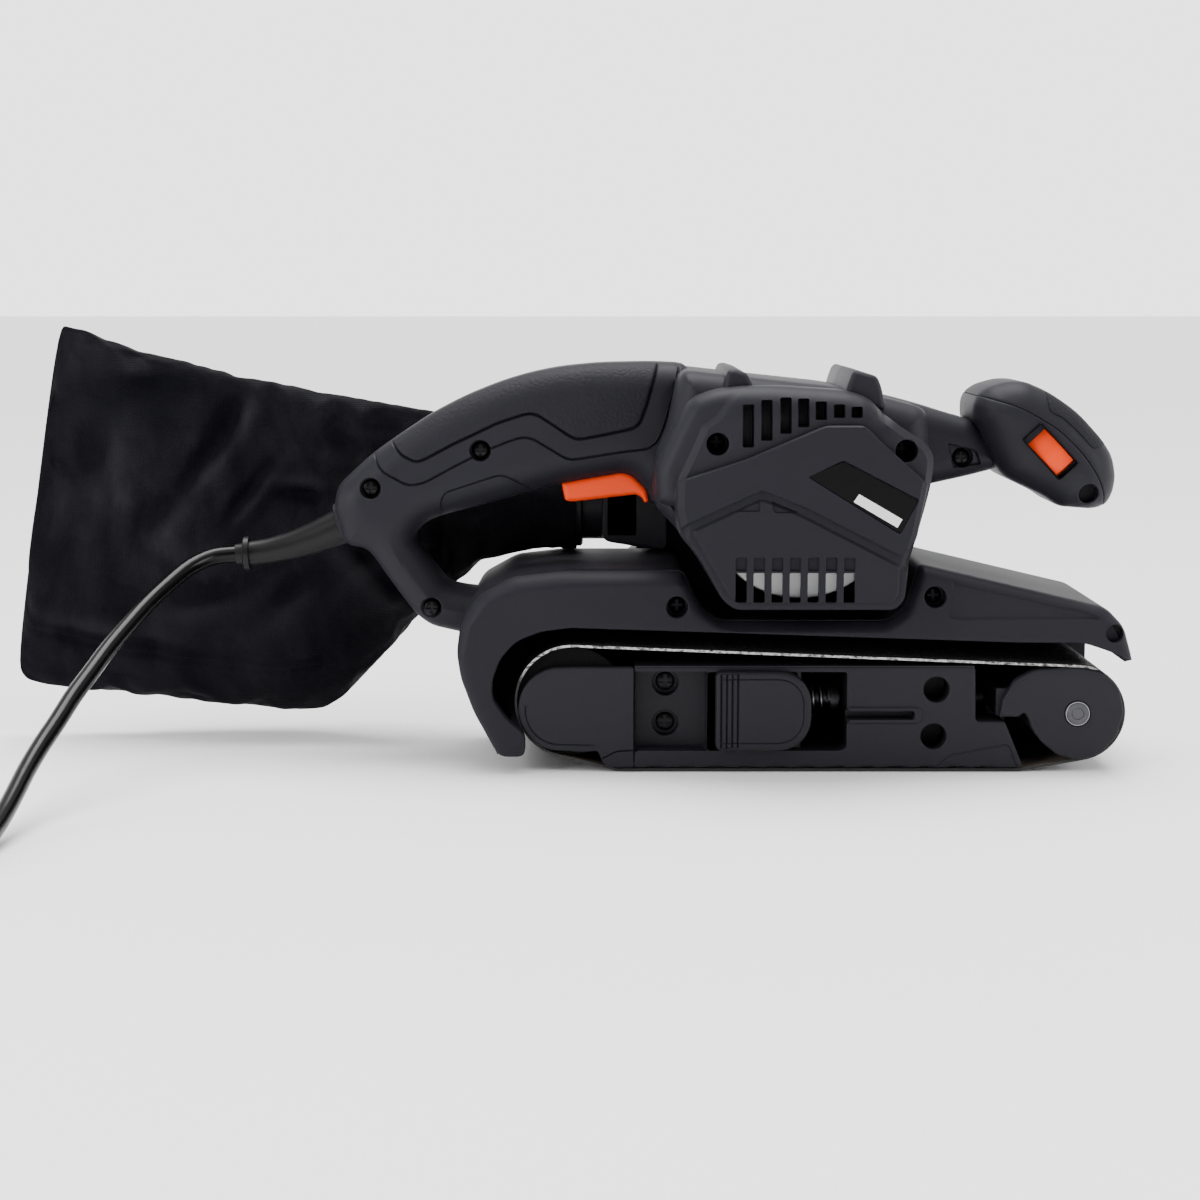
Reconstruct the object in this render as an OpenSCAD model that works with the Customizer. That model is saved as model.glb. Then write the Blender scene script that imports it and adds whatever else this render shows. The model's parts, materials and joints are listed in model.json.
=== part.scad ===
// Handheld belt sander, 76 mm by 533 mm belt.
// Origin: centre of the sanding face. +X towards the front knob, +Z up, the open belt side faces -Y.
// Side profiles are written as [x, z] points and extruded along Y.

/* [Sanding belt] */
// Width of the sanding belt
belt_w = 76; // [74:1:76]
// Thickness of the sanding belt
belt_t = 1.0; // [0.8:0.1:1.2]
// Radius of the rubber covered drive drum
drum_r = 21.6; // [21.2:0.1:21.6]
// Radius of the front idler roller
idler_r = 18.0; // [17.6:0.1:18]
// Gap between a roller and the belt
belt_gap = 0.3; // [0.3:0.05:0.4]

/* [Motor] */
// Outer radius of the stator stack
stator_r = 34; // [32:0.5:35]
// Outer radius of the armature core
armature_r = 17.5; // [16:0.5:17.5]
// Teeth on the motor pulley
motor_teeth = 16; // [16]
// Teeth on the drive drum's pulley
drum_teeth = 44; // [44]
// Pitch of the toothed belt
tooth_pitch = 3.14; // [3.14]

/* [Housing] */
// Half the thickness of the rear handle
handle_half = 17; // [16:0.5:17]
// Wall thickness of the mouldings
wall = 3; // [2.5:0.5:3]

/* [Dust outlet] */
// Outer radius of the dust port
port_r = 16; // [15.5:0.1:16]
// Inner radius of the dust port
port_bore_r = 14; // [13:0.5:14]

/* [Cord] */
// Diameter of the power cord
cord_d = 7; // [6.5:0.5:7]

/* [Hidden] */
$fn = 64;

// Main centres, as [x, z]
drum_c = [-97.8, 28];
idler_c = [103.3, 23.5];
motor_c = [-9, 108];
rod_z = idler_c[1];

// Sole: where the belt's inner face leaves the platen at each end
sole_rear = -80;
sole_front = 81;

// Depths along Y
belt_y = belt_w / 2;
case_y = 40;          // inner face of the drive case
case_t = 4;
cover_y = 66;         // outer face of the drive cover
bulge_y = 60;         // near face of the motor housing
shoulder_y = 45;
arm_y = 20;
knob_y = 30;
hood_y = 44;
frame_y = 39;         // near face of the frame

// Pulleys
motor_pulley_r = motor_teeth * tooth_pitch / 6.2832;
driven_pulley_r = drum_teeth * tooth_pitch / 6.2832;
pulley_y = [52, 60];

// Dust outlet, its axis along X
port_y = 38;
port_z = 101;
port_x = [-110, -80];

// Tension mechanism
lever_c = [-8, -33];  // lever pivot, as [x, y]
cam_reach = 14;
cam_angle = 105;
spring_x = [-14, 8];
pad_x = -23.9;

// Tracking adjuster, as [x, z]
track_c = [80, 30];
track_offset = 1;

// Front rocker switch
rocker_c = [91.8, 127.2];
rocker_turn = 46.8;   // the long side points down and forward by this
rocker_rest = 8;

// Trigger pivot, as [x, z]
trigger_pivot = [-70, 121];

// Clearances
run = 0.05;
tap_r = 1.6;

// ---------- side profiles ----------
handle_outline = [
    [-195, 103], [-193, 112], [-187.5, 117.5], [-178.6, 125.5], [-167, 133.3], [-155, 141.2],
    [-141, 148.4], [-127, 154], [-115, 157.6], [-103, 160], [-87, 161.6], [-65, 162], [-50, 161.2],
    [-50, 112], [-62, 104], [-66, 104], [-68.3, 110.2], [-73.8, 115.6], [-78, 116.4], [-103, 112.2],
    [-129, 105.3], [-151, 99.6],
    [-158, 96.7], [-163, 90], [-148.8, 71.5], [-142, 70.2], [-134, 69], [-134, 49], [-145.3, 51.8],
    [-155.9, 54.3], [-162.3, 59.2], [-172, 72.3], [-181.5, 86], [-189, 87]
];
handle_cavity = [
    [-184, 112], [-166, 127.5], [-140, 142.5], [-115, 152], [-88, 156.5], [-54, 157], [-54, 121],
    [-104, 118], [-130, 110], [-158, 102.5], [-172, 99]
];
shoulder_outline = [
    [-66, 107], [-65, 126.5], [-60, 136.3], [-55.5, 161.3], [-25, 158.2], [5, 155], [27, 150.2],
    [42, 146.2], [44, 112], [38, 90], [-50, 90], [-60, 96]
];
bulge_outline = [
    [-64, 112], [-63, 121], [-57, 139], [-52, 149], [-44, 153.4], [-33, 155.8], [-18, 155.8],
    [8.8, 154.3], [20.5, 150.8], [30.5, 139.5], [38.5, 122], [38.5, 114], [34.7, 95], [32.1, 87.4],
    [31.2, 72], [27.5, 68], [-34.5, 68], [-39.5, 72], [-48.1, 87.4], [-57, 98.2]
];
arm_outline = [
    [30, 149.5], [42, 146.2], [57.1, 142.3], [61.2, 142.6], [65.9, 135.6], [72.2, 119.7], [44, 112],
    [36, 112]
];
rear_rib = [[-44, 155], [-42.5, 159.5], [-38.6, 163.8], [-30.8, 163], [-26.8, 158], [-25, 155]];
front_rib = [[1, 152], [3, 157], [6, 162.6], [20, 159], [24.3, 151.7], [24, 148]];
cover_outline = [
    [-57.5, 118.3], [-31.1, 126.7], [-0.5, 139.8], [14.8, 139.8], [30.4, 124.1], [38, 117.5],
    [34.7, 95], [31.2, 72], [27.5, 68], [-34.5, 68], [-39.5, 72], [-48.1, 87.4], [-57, 98.2]
];
cover_band = [
    [-57.5, 118.3], [-31.1, 126.7], [-0.5, 139.8], [14.8, 139.8], [30.4, 124.1], [38, 117.5],
    [32.1, 87.4], [-9.8, 107.5], [-24.4, 113.7], [-52, 100.9], [-57, 98.2]
];
plate_outline = [[8.8, 126], [-7.2, 119.6], [29, 97], [36.4, 111.2]];

// Hood: its outer line from the rear lip over the top to the front beak, then its lower line back
hood_top = [
    [-127.6, 6.8], [-137, 24], [-142.1, 37.8], [-143.6, 47.8], [-142, 60], [-136, 71], [-122, 78.5],
    [-103, 81], [-54, 81], [-47.5, 66], [-39.5, 61], [27, 61], [34, 66], [39, 84], [109, 67.5],
    [118.5, 59.8], [124.5, 45]
];
hood_under = [
    [112.6, 49.8], [103.8, 52.6], [79.7, 52.6], [-98.5, 58.5], [-110.4, 56.9], [-120, 53], [-126.2, 46],
    [-129.5, 37], [-129.5, 29.8], [-124, 22], [-116.5, 15.7], [-116.5, 6.8]
];
beak_outline = [[99, 66.5], [109, 64.3], [116, 58.2], [121, 47.4], [112.6, 51.5], [104, 54]];
case_outline = [
    [-82, 3.8], [-112, 6], [-122, 18], [-125, 32], [-122, 50], [-110, 58], [-56, 62], [-48.5, 64.5],
    [-49, 90], [-57, 99], [-63, 118], [-52, 140], [-30, 150], [12, 150], [30, 138], [38, 117], [33, 66],
    [38, 60], [95, 52], [117, 42], [122, 24], [114, 10], [82, 3.8]
];
knob_parting = [
    [58.5, 149.6], [69.5, 146.5], [86.6, 140.7], [97.3, 133.2], [105.7, 124.9], [111.1, 115.3],
    [113.3, 105.4]
];
knob_top = [
    [116.4, 107.5], [118.2, 115.5], [116, 124], [111.6, 132.3], [103, 143.5], [91.3, 152.2], [83, 155.2],
    [75.3, 156.3], [66, 155.6], [60.4, 153.4]
];
knob_bottom = [
    [106.4, 104.3], [92.5, 105], [84.3, 111.8], [72.2, 119.7], [65.9, 135.6], [61.2, 142.6]
];
knob_cavity = [[72, 139], [86, 134], [101, 121], [106, 109], [95, 109], [79, 120]];
trigger_outline = [
    [-102, 113], [-100.6, 105.6], [-71.5, 108.3], [-69.4, 107.2], [-68.4, 104.9], [-66.9, 105.2],
    [-66.6, 121.5], [-72, 124], [-78, 121.5], [-96, 117.5]
];
frame_foot = [[-72.9, 2.2], [-72.9, 7.8], [62, 20], [74.5, 20], [81, 2.2]];
lever_outline = concat(
    [[-41, 8.5]],
    arc([-15.6, 21.5], 13, -90, 0, 12),
    arc([-15.6, 26.9], 13, 0, 90, 12),
    [[-41, 39.9]]
);
cap_outline = concat(
    arc([-100.5, 25.8], 16.2, 90, 270, 24),
    [[-96, 9.6], [-87.5, 11.2], [-86.5, 3.8], [-73, 3.8], [-73, 42]]
);

// Screws: [x, z, y of the head's outer face, y of the tip, head radius]
housing_screw_list = [
    [-179.2, 111.3, -14, 12, 3.4], [-134.8, 126.6, -14, 12, 3.4], [-155.1, 62.7, -14, 12, 3.4],
    [58.6, 124, -16, 12, 3.4], [-41.5, 132.5, -46, 30, 3.6], [30.7, 130.5, -46, 30, 3.6]
];
base_screw_list = [[-55, 69, -30, -14, 3.6], [42.8, 73, -30, -14, 3.6], [113, 57.9, -30, -14, 2.8]];
frame_screw_list = [
    [-60.5, 34.5, -24, 43, 4.2], [-60.5, 18, -24, 43, 4.2],
    [47.1, 33.1, 12, 43, 4.2], [46.2, 14.2, 12, 43, 4.2]
];
cover_screw_list = [[-94.1, 68.8], [-36.5, 49.5], [5.5, 121]];

// Cord: the points of its route before the coil, as [x, y, z]
cord_route = [
    [-230.5, 0, 83.2], [-237.5, 0, 81.1], [-246, -4, 80], [-254, -12, 77], [-261, -22, 72.5],
    [-267, -34, 66.5], [-272, -47, 60], [-277, -61, 53], [-281, -75, 46], [-285, -89, 39], [-288, -103, 32],
    [-291, -117, 25.5], [-293, -131, 19.5], [-294, -145, 14], [-295, -159, 9], [-296, -172, 5.5],
    [-296, -178, 4.6]
];
coil_c = [-350, -192];
coil_r = 40;
coil_half = 12;
plug_c = [-411, -152];

// ---------- shapes that repeat ----------
function arc(c, r, a0, a1, n) =
    [for (i = [0:n]) let (a = a0 + (a1 - a0) * i / n) [c[0] + r * cos(a), c[1] + r * sin(a)]];
function heading(p, q) = atan2(q[1] - p[1], q[0] - p[0]);
function upper_tangent(c1, r1, c2, r2) = heading(c1, c2) + acos((r1 - r2) / norm(c2 - c1));
function lower_tangent(c1, r1, c2, r2) = heading(c1, c2) - acos((r1 - r2) / norm(c2 - c1));

// Line round two circles, the first one to the left
function around(c1, r1, c2, r2, n = 28) = let (
    up = upper_tangent(c1, r1, c2, r2),
    down = lower_tangent(c1, r1, c2, r2)
) concat(arc(c1, r1, up, 360 + down, n), arc(c2, r2, down, up, n));

// Line of the sanding belt at a distance outside its inner face
function belt_line(out) = let (
    r1 = drum_r + belt_gap + out,
    r2 = idler_r + belt_gap + out,
    p1 = [sole_rear, belt_t - out],
    p2 = [sole_front, belt_t - out],
    up = upper_tangent(drum_c, r1, idler_c, r2),
    leave = heading(drum_c, p1) - acos(r1 / norm(p1 - drum_c)),
    meet = heading(idler_c, p2) + acos(r2 / norm(p2 - idler_c))
) concat(arc(drum_c, r1, up, 360 + leave, 36), [p1, p2], arc(idler_c, r2, meet, up, 30));

// Line beside an open line of points, to its right at distance t
function side(p, q) = let (d = (q - p) / norm(q - p)) [d[1], -d[0]];
function beside(path, t) = [for (i = [0:len(path) - 1]) let (
    a = side(path[max(i - 1, 0)], path[max(i, 1)]),
    b = side(path[min(i, len(path) - 2)], path[min(i + 1, len(path) - 1)]),
    m = a + b
) path[i] + m * (2 * t / (m * m))];

function reversed(list) = [for (i = [len(list) - 1:-1:0]) list[i]];

// Profile in [x, z] extruded from y0 to y1
module slab(y0, y1) {
    translate([0, y1, 0]) rotate([90, 0, 0]) linear_extrude(height = y1 - y0) children();
}

module rod(c, r, y0, y1) {
    translate([c[0], y0, c[1]]) rotate([-90, 0, 0]) cylinder(r = r, h = y1 - y0);
}

module ring(c, r_out, r_in, y0, y1) {
    difference() {
        rod(c, r_out, y0, y1);
        rod(c, r_in, y0 - 1, y1 + 1);
    }
}

// Cylinder along X
module bar(x0, x1, y, z, r, r2 = -1) {
    translate([x0, y, z]) rotate([0, 90, 0]) cylinder(r1 = r, r2 = r2 < 0 ? r : r2, h = x1 - x0);
}

// Children turned about a centre line along Y
module turned(c, turn) translate([c[0], 0, c[1]]) rotate([0, turn, 0]) children();

module box(x, y, z) {
    translate([x[0], y[0], z[0]]) cube([x[1] - x[0], y[1] - y[0], z[1] - z[0]]);
}

// Pan-head screw along Y with a cross recess, its head towards -Y
module screw(c, head_y, tip_y, head_r) {
    difference() {
        rod(c, head_r, head_y, head_y + 2.4);
        for (turn = [0, 90]) turned(c, turn)
            box([-0.6, 0.6] * head_r, [head_y - 1, head_y + 1.2], [-0.45, 0.45]);
    }
    rod(c, tap_r, head_y + 2.4, tip_y);
}

// Hole for that screw: a wide bore down to the head, then the shank's bore
module screw_hole(s, mouth_y) {
    rod([s[0], s[1]], s[4] + 0.6, mouth_y, s[2] + 2.4);
    rod([s[0], s[1]], tap_r, s[2], s[3]);
}

module hood_profile() polygon(concat(hood_top, hood_under));

// ---------- housing ----------
// The cooling slots above the motor cover: [x, lower z, upper z]
top_slots = [
    [-30, 132, 149], [-22.8, 134.5, 150.5], [-15.8, 138, 151.5], [-8.8, 141, 151.5], [-1.8, 143, 151],
    [5, 143.5, 149.6], [12, 143.5, 148.6]
];
low_slots = [for (i = [0:6]) [-32.4 + 6.9 * i, 71, 88]];

module slots(list, y0, y1, w = 3.9) {
    for (s = list) box([s[0] - w / 2, s[0] + w / 2], [y0, y1], [s[1], s[2]]);
}

// Half of the clamshell on the +Y side; the motor housing on it reaches to bulge
module housing_half(shoulder, bulge) {
    rod(trigger_pivot, 1.5 - run, 0, handle_half - wall + 1);
    difference() {
        union() {
            slab(0, handle_half) polygon(handle_outline);
            slab(0, shoulder) polygon(shoulder_outline);
            slab(0, bulge) polygon(bulge_outline);
            slab(0, arm_y) polygon(arm_outline);
            slab(0, shoulder) polygon(rear_rib);
            slab(0, shoulder) polygon(front_rib);
        }
        slab(-1, handle_half - wall) polygon(handle_cavity);
        rod(motor_c, 37.5, -1, bulge + 1);
        box([-104, -60], [-1, 8.8], [100, 127]);
        slab(-1, arm_y - wall) polygon([[30, 143], [58, 138], [64, 123], [40, 117]]);
        slab(-50, 50) hood_profile();
        translate([-180, 0, 98.6]) rotate([0, -107, 0]) cylinder(r = 7, h = 30);
    }
}

module housing_left() {
    color("#333338") difference() {
        mirror([0, 1, 0]) housing_half(shoulder_y, bulge_y);
        for (s = housing_screw_list) screw_hole(s, -bulge_y - 1);
        slots(top_slots, -bulge_y - 1, -48);
    }
}

module housing_right() {
    color("#333338") difference() {
        housing_half(case_y, case_y);
        for (s = housing_screw_list) rod([s[0], s[1]], tap_r, -1, s[3]);
        box([-87, -57], [20, case_y + 1], [86, 119]);
    }
}

// Soft saddle on one side of the rear handle
grip_outline = [
    [-171, 129.5], [-169.2, 118.8], [-162.4, 113.1], [-155.1, 116.4], [-139, 124.8], [-126.9, 130.8],
    [-115.6, 136.9], [-108.8, 138.9], [-94.7, 130.4], [-70.6, 134.9], [-64.7, 161],
    [-87, 160.6], [-103, 159], [-115, 156.6], [-127, 153], [-141, 147.4], [-155, 140.2]
];
module rear_grip(y0, y1) {
    color("#29292c") difference() {
        slab(y0, y1) polygon(grip_outline);
        for (s = housing_screw_list) rod([s[0], s[1]], s[4] + 0.6, y0 - 1, y1 + 1);
    }
}
module rear_grip_left() rear_grip(-handle_half - 1.2, -handle_half);
module rear_grip_right() rear_grip(handle_half, handle_half + 1.2);

module motor_cover() {
    color("#333338") difference() {
        union() {
            slab(-bulge_y - 2, -bulge_y) polygon(cover_outline);
            slab(-bulge_y - 4, -bulge_y - 2) polygon(cover_band);
        }
        slots(low_slots, -bulge_y - 3, -bulge_y + 1);
        slab(-bulge_y - 5, -bulge_y - 3) polygon(plate_outline);
    }
}

module rating_plate() {
    color("#0c0c0d") slab(-bulge_y - 3.6, -bulge_y - 3) polygon(plate_outline);
}

// ---------- base ----------
module base_housing() {
    color("#333338") difference() {
        union() {
            slab(-hood_y, -hood_y + wall) hood_profile();
            slab(-hood_y, case_y) polygon(concat(hood_top, reversed(beside(hood_top, wall))));
            for (s = base_screw_list) rod([s[0], s[1]], s[4] + 1.8, -hood_y + 1, -14);
            slab(-hood_y, case_y) polygon(beak_outline);
        }
        for (s = base_screw_list) screw_hole(s, -hood_y - 1);
    }
}

module drive_case() {
    color("#2c2c30") difference() {
        union() {
            slab(case_y, case_y + case_t) polygon(case_outline);
            slab(case_y, case_y + case_t) polygon(around(drum_c, 26.5, motor_c, 15.5));
            for (s = cover_screw_list) rod(s, 5, case_y, case_y + case_t);
            rod(drum_c, 16, case_y, case_y + 8);
            rod(motor_c, 14, case_y, case_y + 7);
        }
        rod(drum_c, 13, case_y - 1, case_y + 9);
        rod(motor_c, 11, case_y - 1, case_y + 8);
        rod(track_c, 3 + run, case_y - 1, case_y + 5);
        for (s = frame_screw_list) rod([s[0], s[1]], tap_r, case_y - 1, s[3]);
        for (s = cover_screw_list) rod(s, tap_r, case_y - 1, case_y + 5);
    }
}

module drive_cover() {
    inner_y = cover_y - 2.5;
    color("#333338") difference() {
        union() {
            slab(case_y + case_t, cover_y) polygon(around(drum_c, 26.5, motor_c, 15.5));
            for (s = cover_screw_list) rod(s, 5, case_y + case_t, case_y + case_t + 6);
        }
        slab(case_y + case_t - 1, inner_y) polygon(around(drum_c, 24.5, motor_c, 14.2));
        for (s = cover_screw_list) rod(s, tap_r, case_y, case_y + 12);
    }
}

module base_frame() {
    floor_top = 7.8;
    deck = [40.6, 42.6];
    color("#343438") difference() {
        union() {
            box([-72.9, 80], [-frame_y + 3, case_y], [3.8, floor_top]);
            slab(-frame_y, -frame_y + 3) polygon(frame_foot);
            box([-72.9, 62], [-frame_y, case_y], deck);
            box([-72.9, -44], [-30, case_y], [floor_top - 0.5, deck[0] + 0.5]);
            box([12, 62], [-frame_y, case_y], [floor_top - 0.5, deck[0] + 0.5]);
            box([-44, 12], [34, case_y], [floor_top - 0.5, deck[0] + 0.5]);
            box([-16, -14], [-11, 35], [floor_top - 0.5, deck[0] + 0.5]);
        }
        box([-44.1, 12], [-frame_y - 1, -frame_y + 4], [floor_top, deck[0]]);
        box([-73.5, -44], [-frame_y - 1, -30], [floor_top, deck[0]]);
        box([11, 38.6], [-frame_y - 1, -30], [20.8, 24.4]);
        box([16, 58], [-28, -10], [10, 38]);
        box([16, 58], [10, 34], [10, 38]);
        bar(-20, 70, 0, rod_z, 5 + run);
        for (s = frame_screw_list) {
            rod([s[0], s[1]], s[4] + 1.2, -frame_y - 1, s[2] + 2.4);
            rod([s[0], s[1]], tap_r, s[2], s[3]);
        }
        translate([lever_c[0], lever_c[1], 3]) cylinder(r = 2.5, h = 45);
    }
}

module drive_roller_cap() {
    color("#343438") difference() {
        union() {
            slab(-frame_y, -frame_y + 2.4) polygon(cap_outline);
            rod(drum_c, 10.5, -frame_y + 2, -28);
            box([-74.5, -73], [-frame_y, 30], [3.8, 42]);
        }
        rod(drum_c, 8, -33.5, -27);
        rod(drum_c, 5, -frame_y + 2.4, -27);
    }
}

module platen_pad() {
    color("#4a3a2a") box([-76, 76], [-36, 36], [belt_t + 0.8, 3.8]);
}

module platen_plate() {
    color("silver") difference() {
        box([sole_rear + 1, sole_front - 1], [-37, 37], [belt_t, belt_t + 0.8]);
        for (i = [0:12]) box([-70 + 11 * i, -65 + 11 * i], [-38, -35.5], [belt_t - 1, belt_t + 2]);
    }
}

module sanding_belt() {
    color("#151515") difference() {
        slab(-belt_y, belt_y) polygon(belt_line(belt_t));
        slab(-belt_y - 1, belt_y + 1) polygon(belt_line(0));
    }
}

// ---------- front knob ----------
module knob_lower(y0, y1) {
    slab(y0, y1) polygon(concat(knob_parting, knob_bottom));
}

module knob_shell(y0, y1) {
    difference() {
        knob_lower(y0, y1);
        slab(-knob_y + wall, knob_y - wall) polygon(knob_cavity);
        turned(rocker_c, rocker_turn) box([-11, 11], [-knob_y - 1, -knob_y + 14], [-5, 5]);
        screw_hole([107.8, 110.2, -24, 12, 2.6], -knob_y - 1);
    }
}
module knob_shell_left() color("#2f2f33") knob_shell(-knob_y, 0);
module knob_shell_right() color("#2f2f33") knob_shell(0, knob_y);

module knob_cap() {
    color("#29292c") difference() {
        slab(-knob_y, knob_y) polygon(concat(knob_top, knob_parting));
        slab(-knob_y - 1, knob_y + 1) polygon(knob_pad_outline);
    }
}

// Textured pad let into the cap
knob_pad_outline = [
    [91.5, 151.5], [91.3, 144.6], [98.2, 140.2], [107.2, 128.8], [111.6, 130], [112.4, 131.4],
    [103.5, 143.9], [92, 152.3]
];
module knob_grip_pad() {
    color("#242427") intersection() {
        slab(-knob_y + 0.5, knob_y - 0.5) polygon(knob_pad_outline);
        slab(-knob_y - 1, knob_y + 1) polygon(concat(knob_top, knob_parting));
    }
}

module rocker_bezel() {
    color("#151515") turned(rocker_c, rocker_turn) difference() {
        box([-11, 11], [-knob_y - 0.6, -knob_y + 13], [-5, 5]);
        box([-10.2, 10.2], [-knob_y - 1, -knob_y + 9], [-4.2, 4.2]);
        translate([0, -knob_y + 3, -6]) cylinder(r = 1.75, h = 12);
    }
}

// The paddle turns on a pivot 3 mm behind the knob's face
module rocker_paddle() {
    color("#ff5a1f") turned(rocker_c, rocker_turn) translate([0, -knob_y + 3, -3.7]) union() {
        rotate([0, 0, -rocker_rest]) linear_extrude(height = 7.4)
            polygon([[-9.2, -3], [0, -3.9], [9.2, -3], [8.6, 0.8], [3, 3], [-3, 3], [-8.6, 0.8]]);
        translate([0, 0, -1]) cylinder(r = 1.6, h = 9.4);
    }
}

// ---------- trigger ----------
module trigger() {
    color("#ff5a1f") difference() {
        slab(-8, 8) polygon(trigger_outline);
        rod(trigger_pivot, 1.5, -9, 9);
    }
}

module trigger_switch() {
    color("#1c1c1c") union() {
        box([-100, -72], [-8.5, 8.5], [129, 149]);
        box([-93, -85], [-4, 4], [122.4, 129]);
    }
}

// ---------- motor ----------
module stator_core() {
    color("#9a9ca0") difference() {
        intersection() {
            rod(motor_c, stator_r, -46, 8);
            turned(motor_c, 0) box([-40, 40], [-47, 9], [-stator_r, stator_r - 3]);
        }
        rod(motor_c, armature_r + 0.8, -47, 9);
        for (turn = [0, 180]) turned(motor_c, turn) box([20.5, 27.5], [-47, 9], [-14, 14]);
    }
}

module field_coils() {
    color("#b5672c") for (turn = [0, 180]) turned(motor_c, turn) difference() {
        box([21, 27], [-50, 12], [-13.5, 13.5]);
        box([20, 28], [-40, 2], [-4, 4]);
    }
}

module motor_bracket() {
    color("#b9bbc0") difference() {
        union() {
            ring(motor_c, 37, 26, -56, -52);
            ring(motor_c, 13.5, 11, -58, -51);
            for (turn = [0, 90]) turned(motor_c, turn) box([-34, 34], [-55, -52], [-4, 4]);
        }
        rod(motor_c, 11, -60, -50);
    }
}

module brush_gear() {
    color("#7a6a3a") for (turn = [0, 180]) turned(motor_c, turn) box([13, 31], [14, 21], [-4, 4]);
}

module motor_bearings() {
    color("#c8c8cc") {
        ring(motor_c, 11, 4 + run, -58, -51);
        ring(motor_c, 11, 4 + run, case_y, case_y + 7);
    }
}

module motor_shaft() {
    color("#c8c8cc") rod(motor_c, 4, -58, 61);
}

module armature_core() {
    color("#8a8c90") difference() {
        ring(motor_c, armature_r, 4, -44, 6);
        for (i = [0:11]) turned(motor_c, i * 30)
            box([armature_r - 5, armature_r + 1], [-45, 7], [-0.8, 0.8]);
    }
}

module armature_windings() {
    color("#b5672c") {
        ring(motor_c, 15.5, 4, -50, -44);
        ring(motor_c, 15.5, 4, 6, 12);
    }
}

module commutator() color("#b87333") ring(motor_c, 12.5, 4, 12.5, 23);

module cooling_fan() {
    color("#1b1b1d") {
        ring(motor_c, 33, 4, 25, 27);
        ring(motor_c, 9, 4, 27, 36);
        for (i = [0:12]) turned(motor_c, i * 360 / 13) box([14, 32], [26.5, 36], [-0.8, 0.8]);
    }
}

module pulley(c, r, bore, teeth) {
    difference() {
        union() {
            rod(c, r, pulley_y[0], pulley_y[1]);
            ring(c, r + 1.2, bore, pulley_y[0] - 1, pulley_y[0]);
        }
        rod(c, bore, pulley_y[0] - 2, pulley_y[1] + 1);
        for (i = [0:teeth - 1]) turned(c, i * 360 / teeth)
            box([r - 1, r + 1], [pulley_y[0], pulley_y[1] + 1], [-0.75, 0.75]);
    }
}
module motor_pulley() color("#9a9ca0") pulley(motor_c, motor_pulley_r, 4, motor_teeth);
module driven_pulley() color("#9a9ca0") pulley(drum_c, driven_pulley_r, 5, drum_teeth);

module timing_belt() {
    color("#18181a") slab(pulley_y[0] + 0.5, pulley_y[1] - 0.5) difference() {
        polygon(around(drum_c, driven_pulley_r + 1.7, motor_c, motor_pulley_r + 1.7));
        polygon(around(drum_c, driven_pulley_r + 0.3, motor_c, motor_pulley_r + 0.3));
    }
}

// ---------- rollers ----------
module drive_shaft() {
    color("#c8c8cc") {
        rod(drum_c, 5, -27, 61);
        rod(drum_c, 4, -33, -27);
    }
}

module drive_drum() {
    color("#1d1d1f") difference() {
        rod(drum_c, drum_r, -36, 36.5);
        rod(drum_c, 5, -37, 38);
        rod(drum_c, 11.5, -37, -27);
    }
}

module drum_bearings() {
    color("#c8c8cc") {
        ring(drum_c, 8, 4 + run, -33.4, -28.4);
        ring(drum_c, 13, 5 + run, case_y, case_y + 8);
    }
}

// Spring-loaded rod that pushes the front yoke forward, with its collar and the cam pad
module tension_rod() {
    color("#c8c8cc") {
        bar(pad_x, 77, 0, rod_z, 5);
        bar(spring_x[1], spring_x[1] + 3, 0, rod_z, 8.5);
        box([pad_x, pad_x + 3], [-31, 8], [16, 31]);
    }
}

// One flat-ended coil per ring keeps the spring a simple solid
module tension_spring() {
    color("#b9bbc0") for (i = [0:4]) translate([spring_x[0] + 0.2 + i * 4.9, 0, 0]) difference() {
        bar(0, 2, 0, rod_z, 8);
        bar(-1, 3, 0, rod_z, 6);
    }
}

module tension_lever() {
    plate_z = [8.5, 39.9];
    color("#38383c") difference() {
        union() {
            intersection() {
                box([-41, -2.6], [-43, -37.5], plate_z);
                slab(-44, -36) polygon(lever_outline);
            }
            translate([lever_c[0], lever_c[1], 12]) cylinder(r = 5, h = 24);
            box([-12, -4], [-38, -32], [12, 36]);
            translate([lever_c[0], lever_c[1], 16]) rotate([0, 0, cam_angle]) {
                translate([0, -3, 0]) cube([cam_reach, 6, 15]);
                translate([cam_reach, 0, 0]) cylinder(r = 3, h = 15);
            }
            for (i = [0:3]) box([-40.4 + 3 * i, -39 + 3 * i], [-43.8, -43], [10, 38.4]);
        }
        translate([lever_c[0], lever_c[1], 3]) cylinder(r = 2.5 + run, h = 45);
    }
}

module lever_pin() color("#c8c8cc") translate([lever_c[0], lever_c[1], 3.8]) cylinder(r = 2.5, h = 38.6);

yoke_side = concat(
    [[72.4, 22.2], [73.5, 29], [78, 36.5], [85.8, 40.6]],
    arc(idler_c, 17.2, 95, -90, 30),
    [[93, 9.5], [86.5, 15.5], [84.3, 21.8], [82.3, 24.3], [79.5, 22.2]]
);
module front_yoke() {
    plate_y = [35.8, frame_y];
    color("#343438") difference() {
        union() {
            slab(-plate_y[1], -plate_y[0]) polygon(yoke_side);
            slab(plate_y[0], plate_y[1]) polygon(yoke_side);
            box([71.4, 79], [-plate_y[0], plate_y[0]], [22.2, 33]);
            box([71.4, 79], [-12, 12], [14.5, 33]);
        }
        bar(70, 80, 0, rod_z, 5 + run);
        rod(idler_c, 4.75, -plate_y[1] - 1, plate_y[1] + 1);
        translate([track_c[0] - 2.5, plate_y[0] + 0.8, track_c[1] - 2]) cube([15.5, 4, 4]);
    }
}

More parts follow.
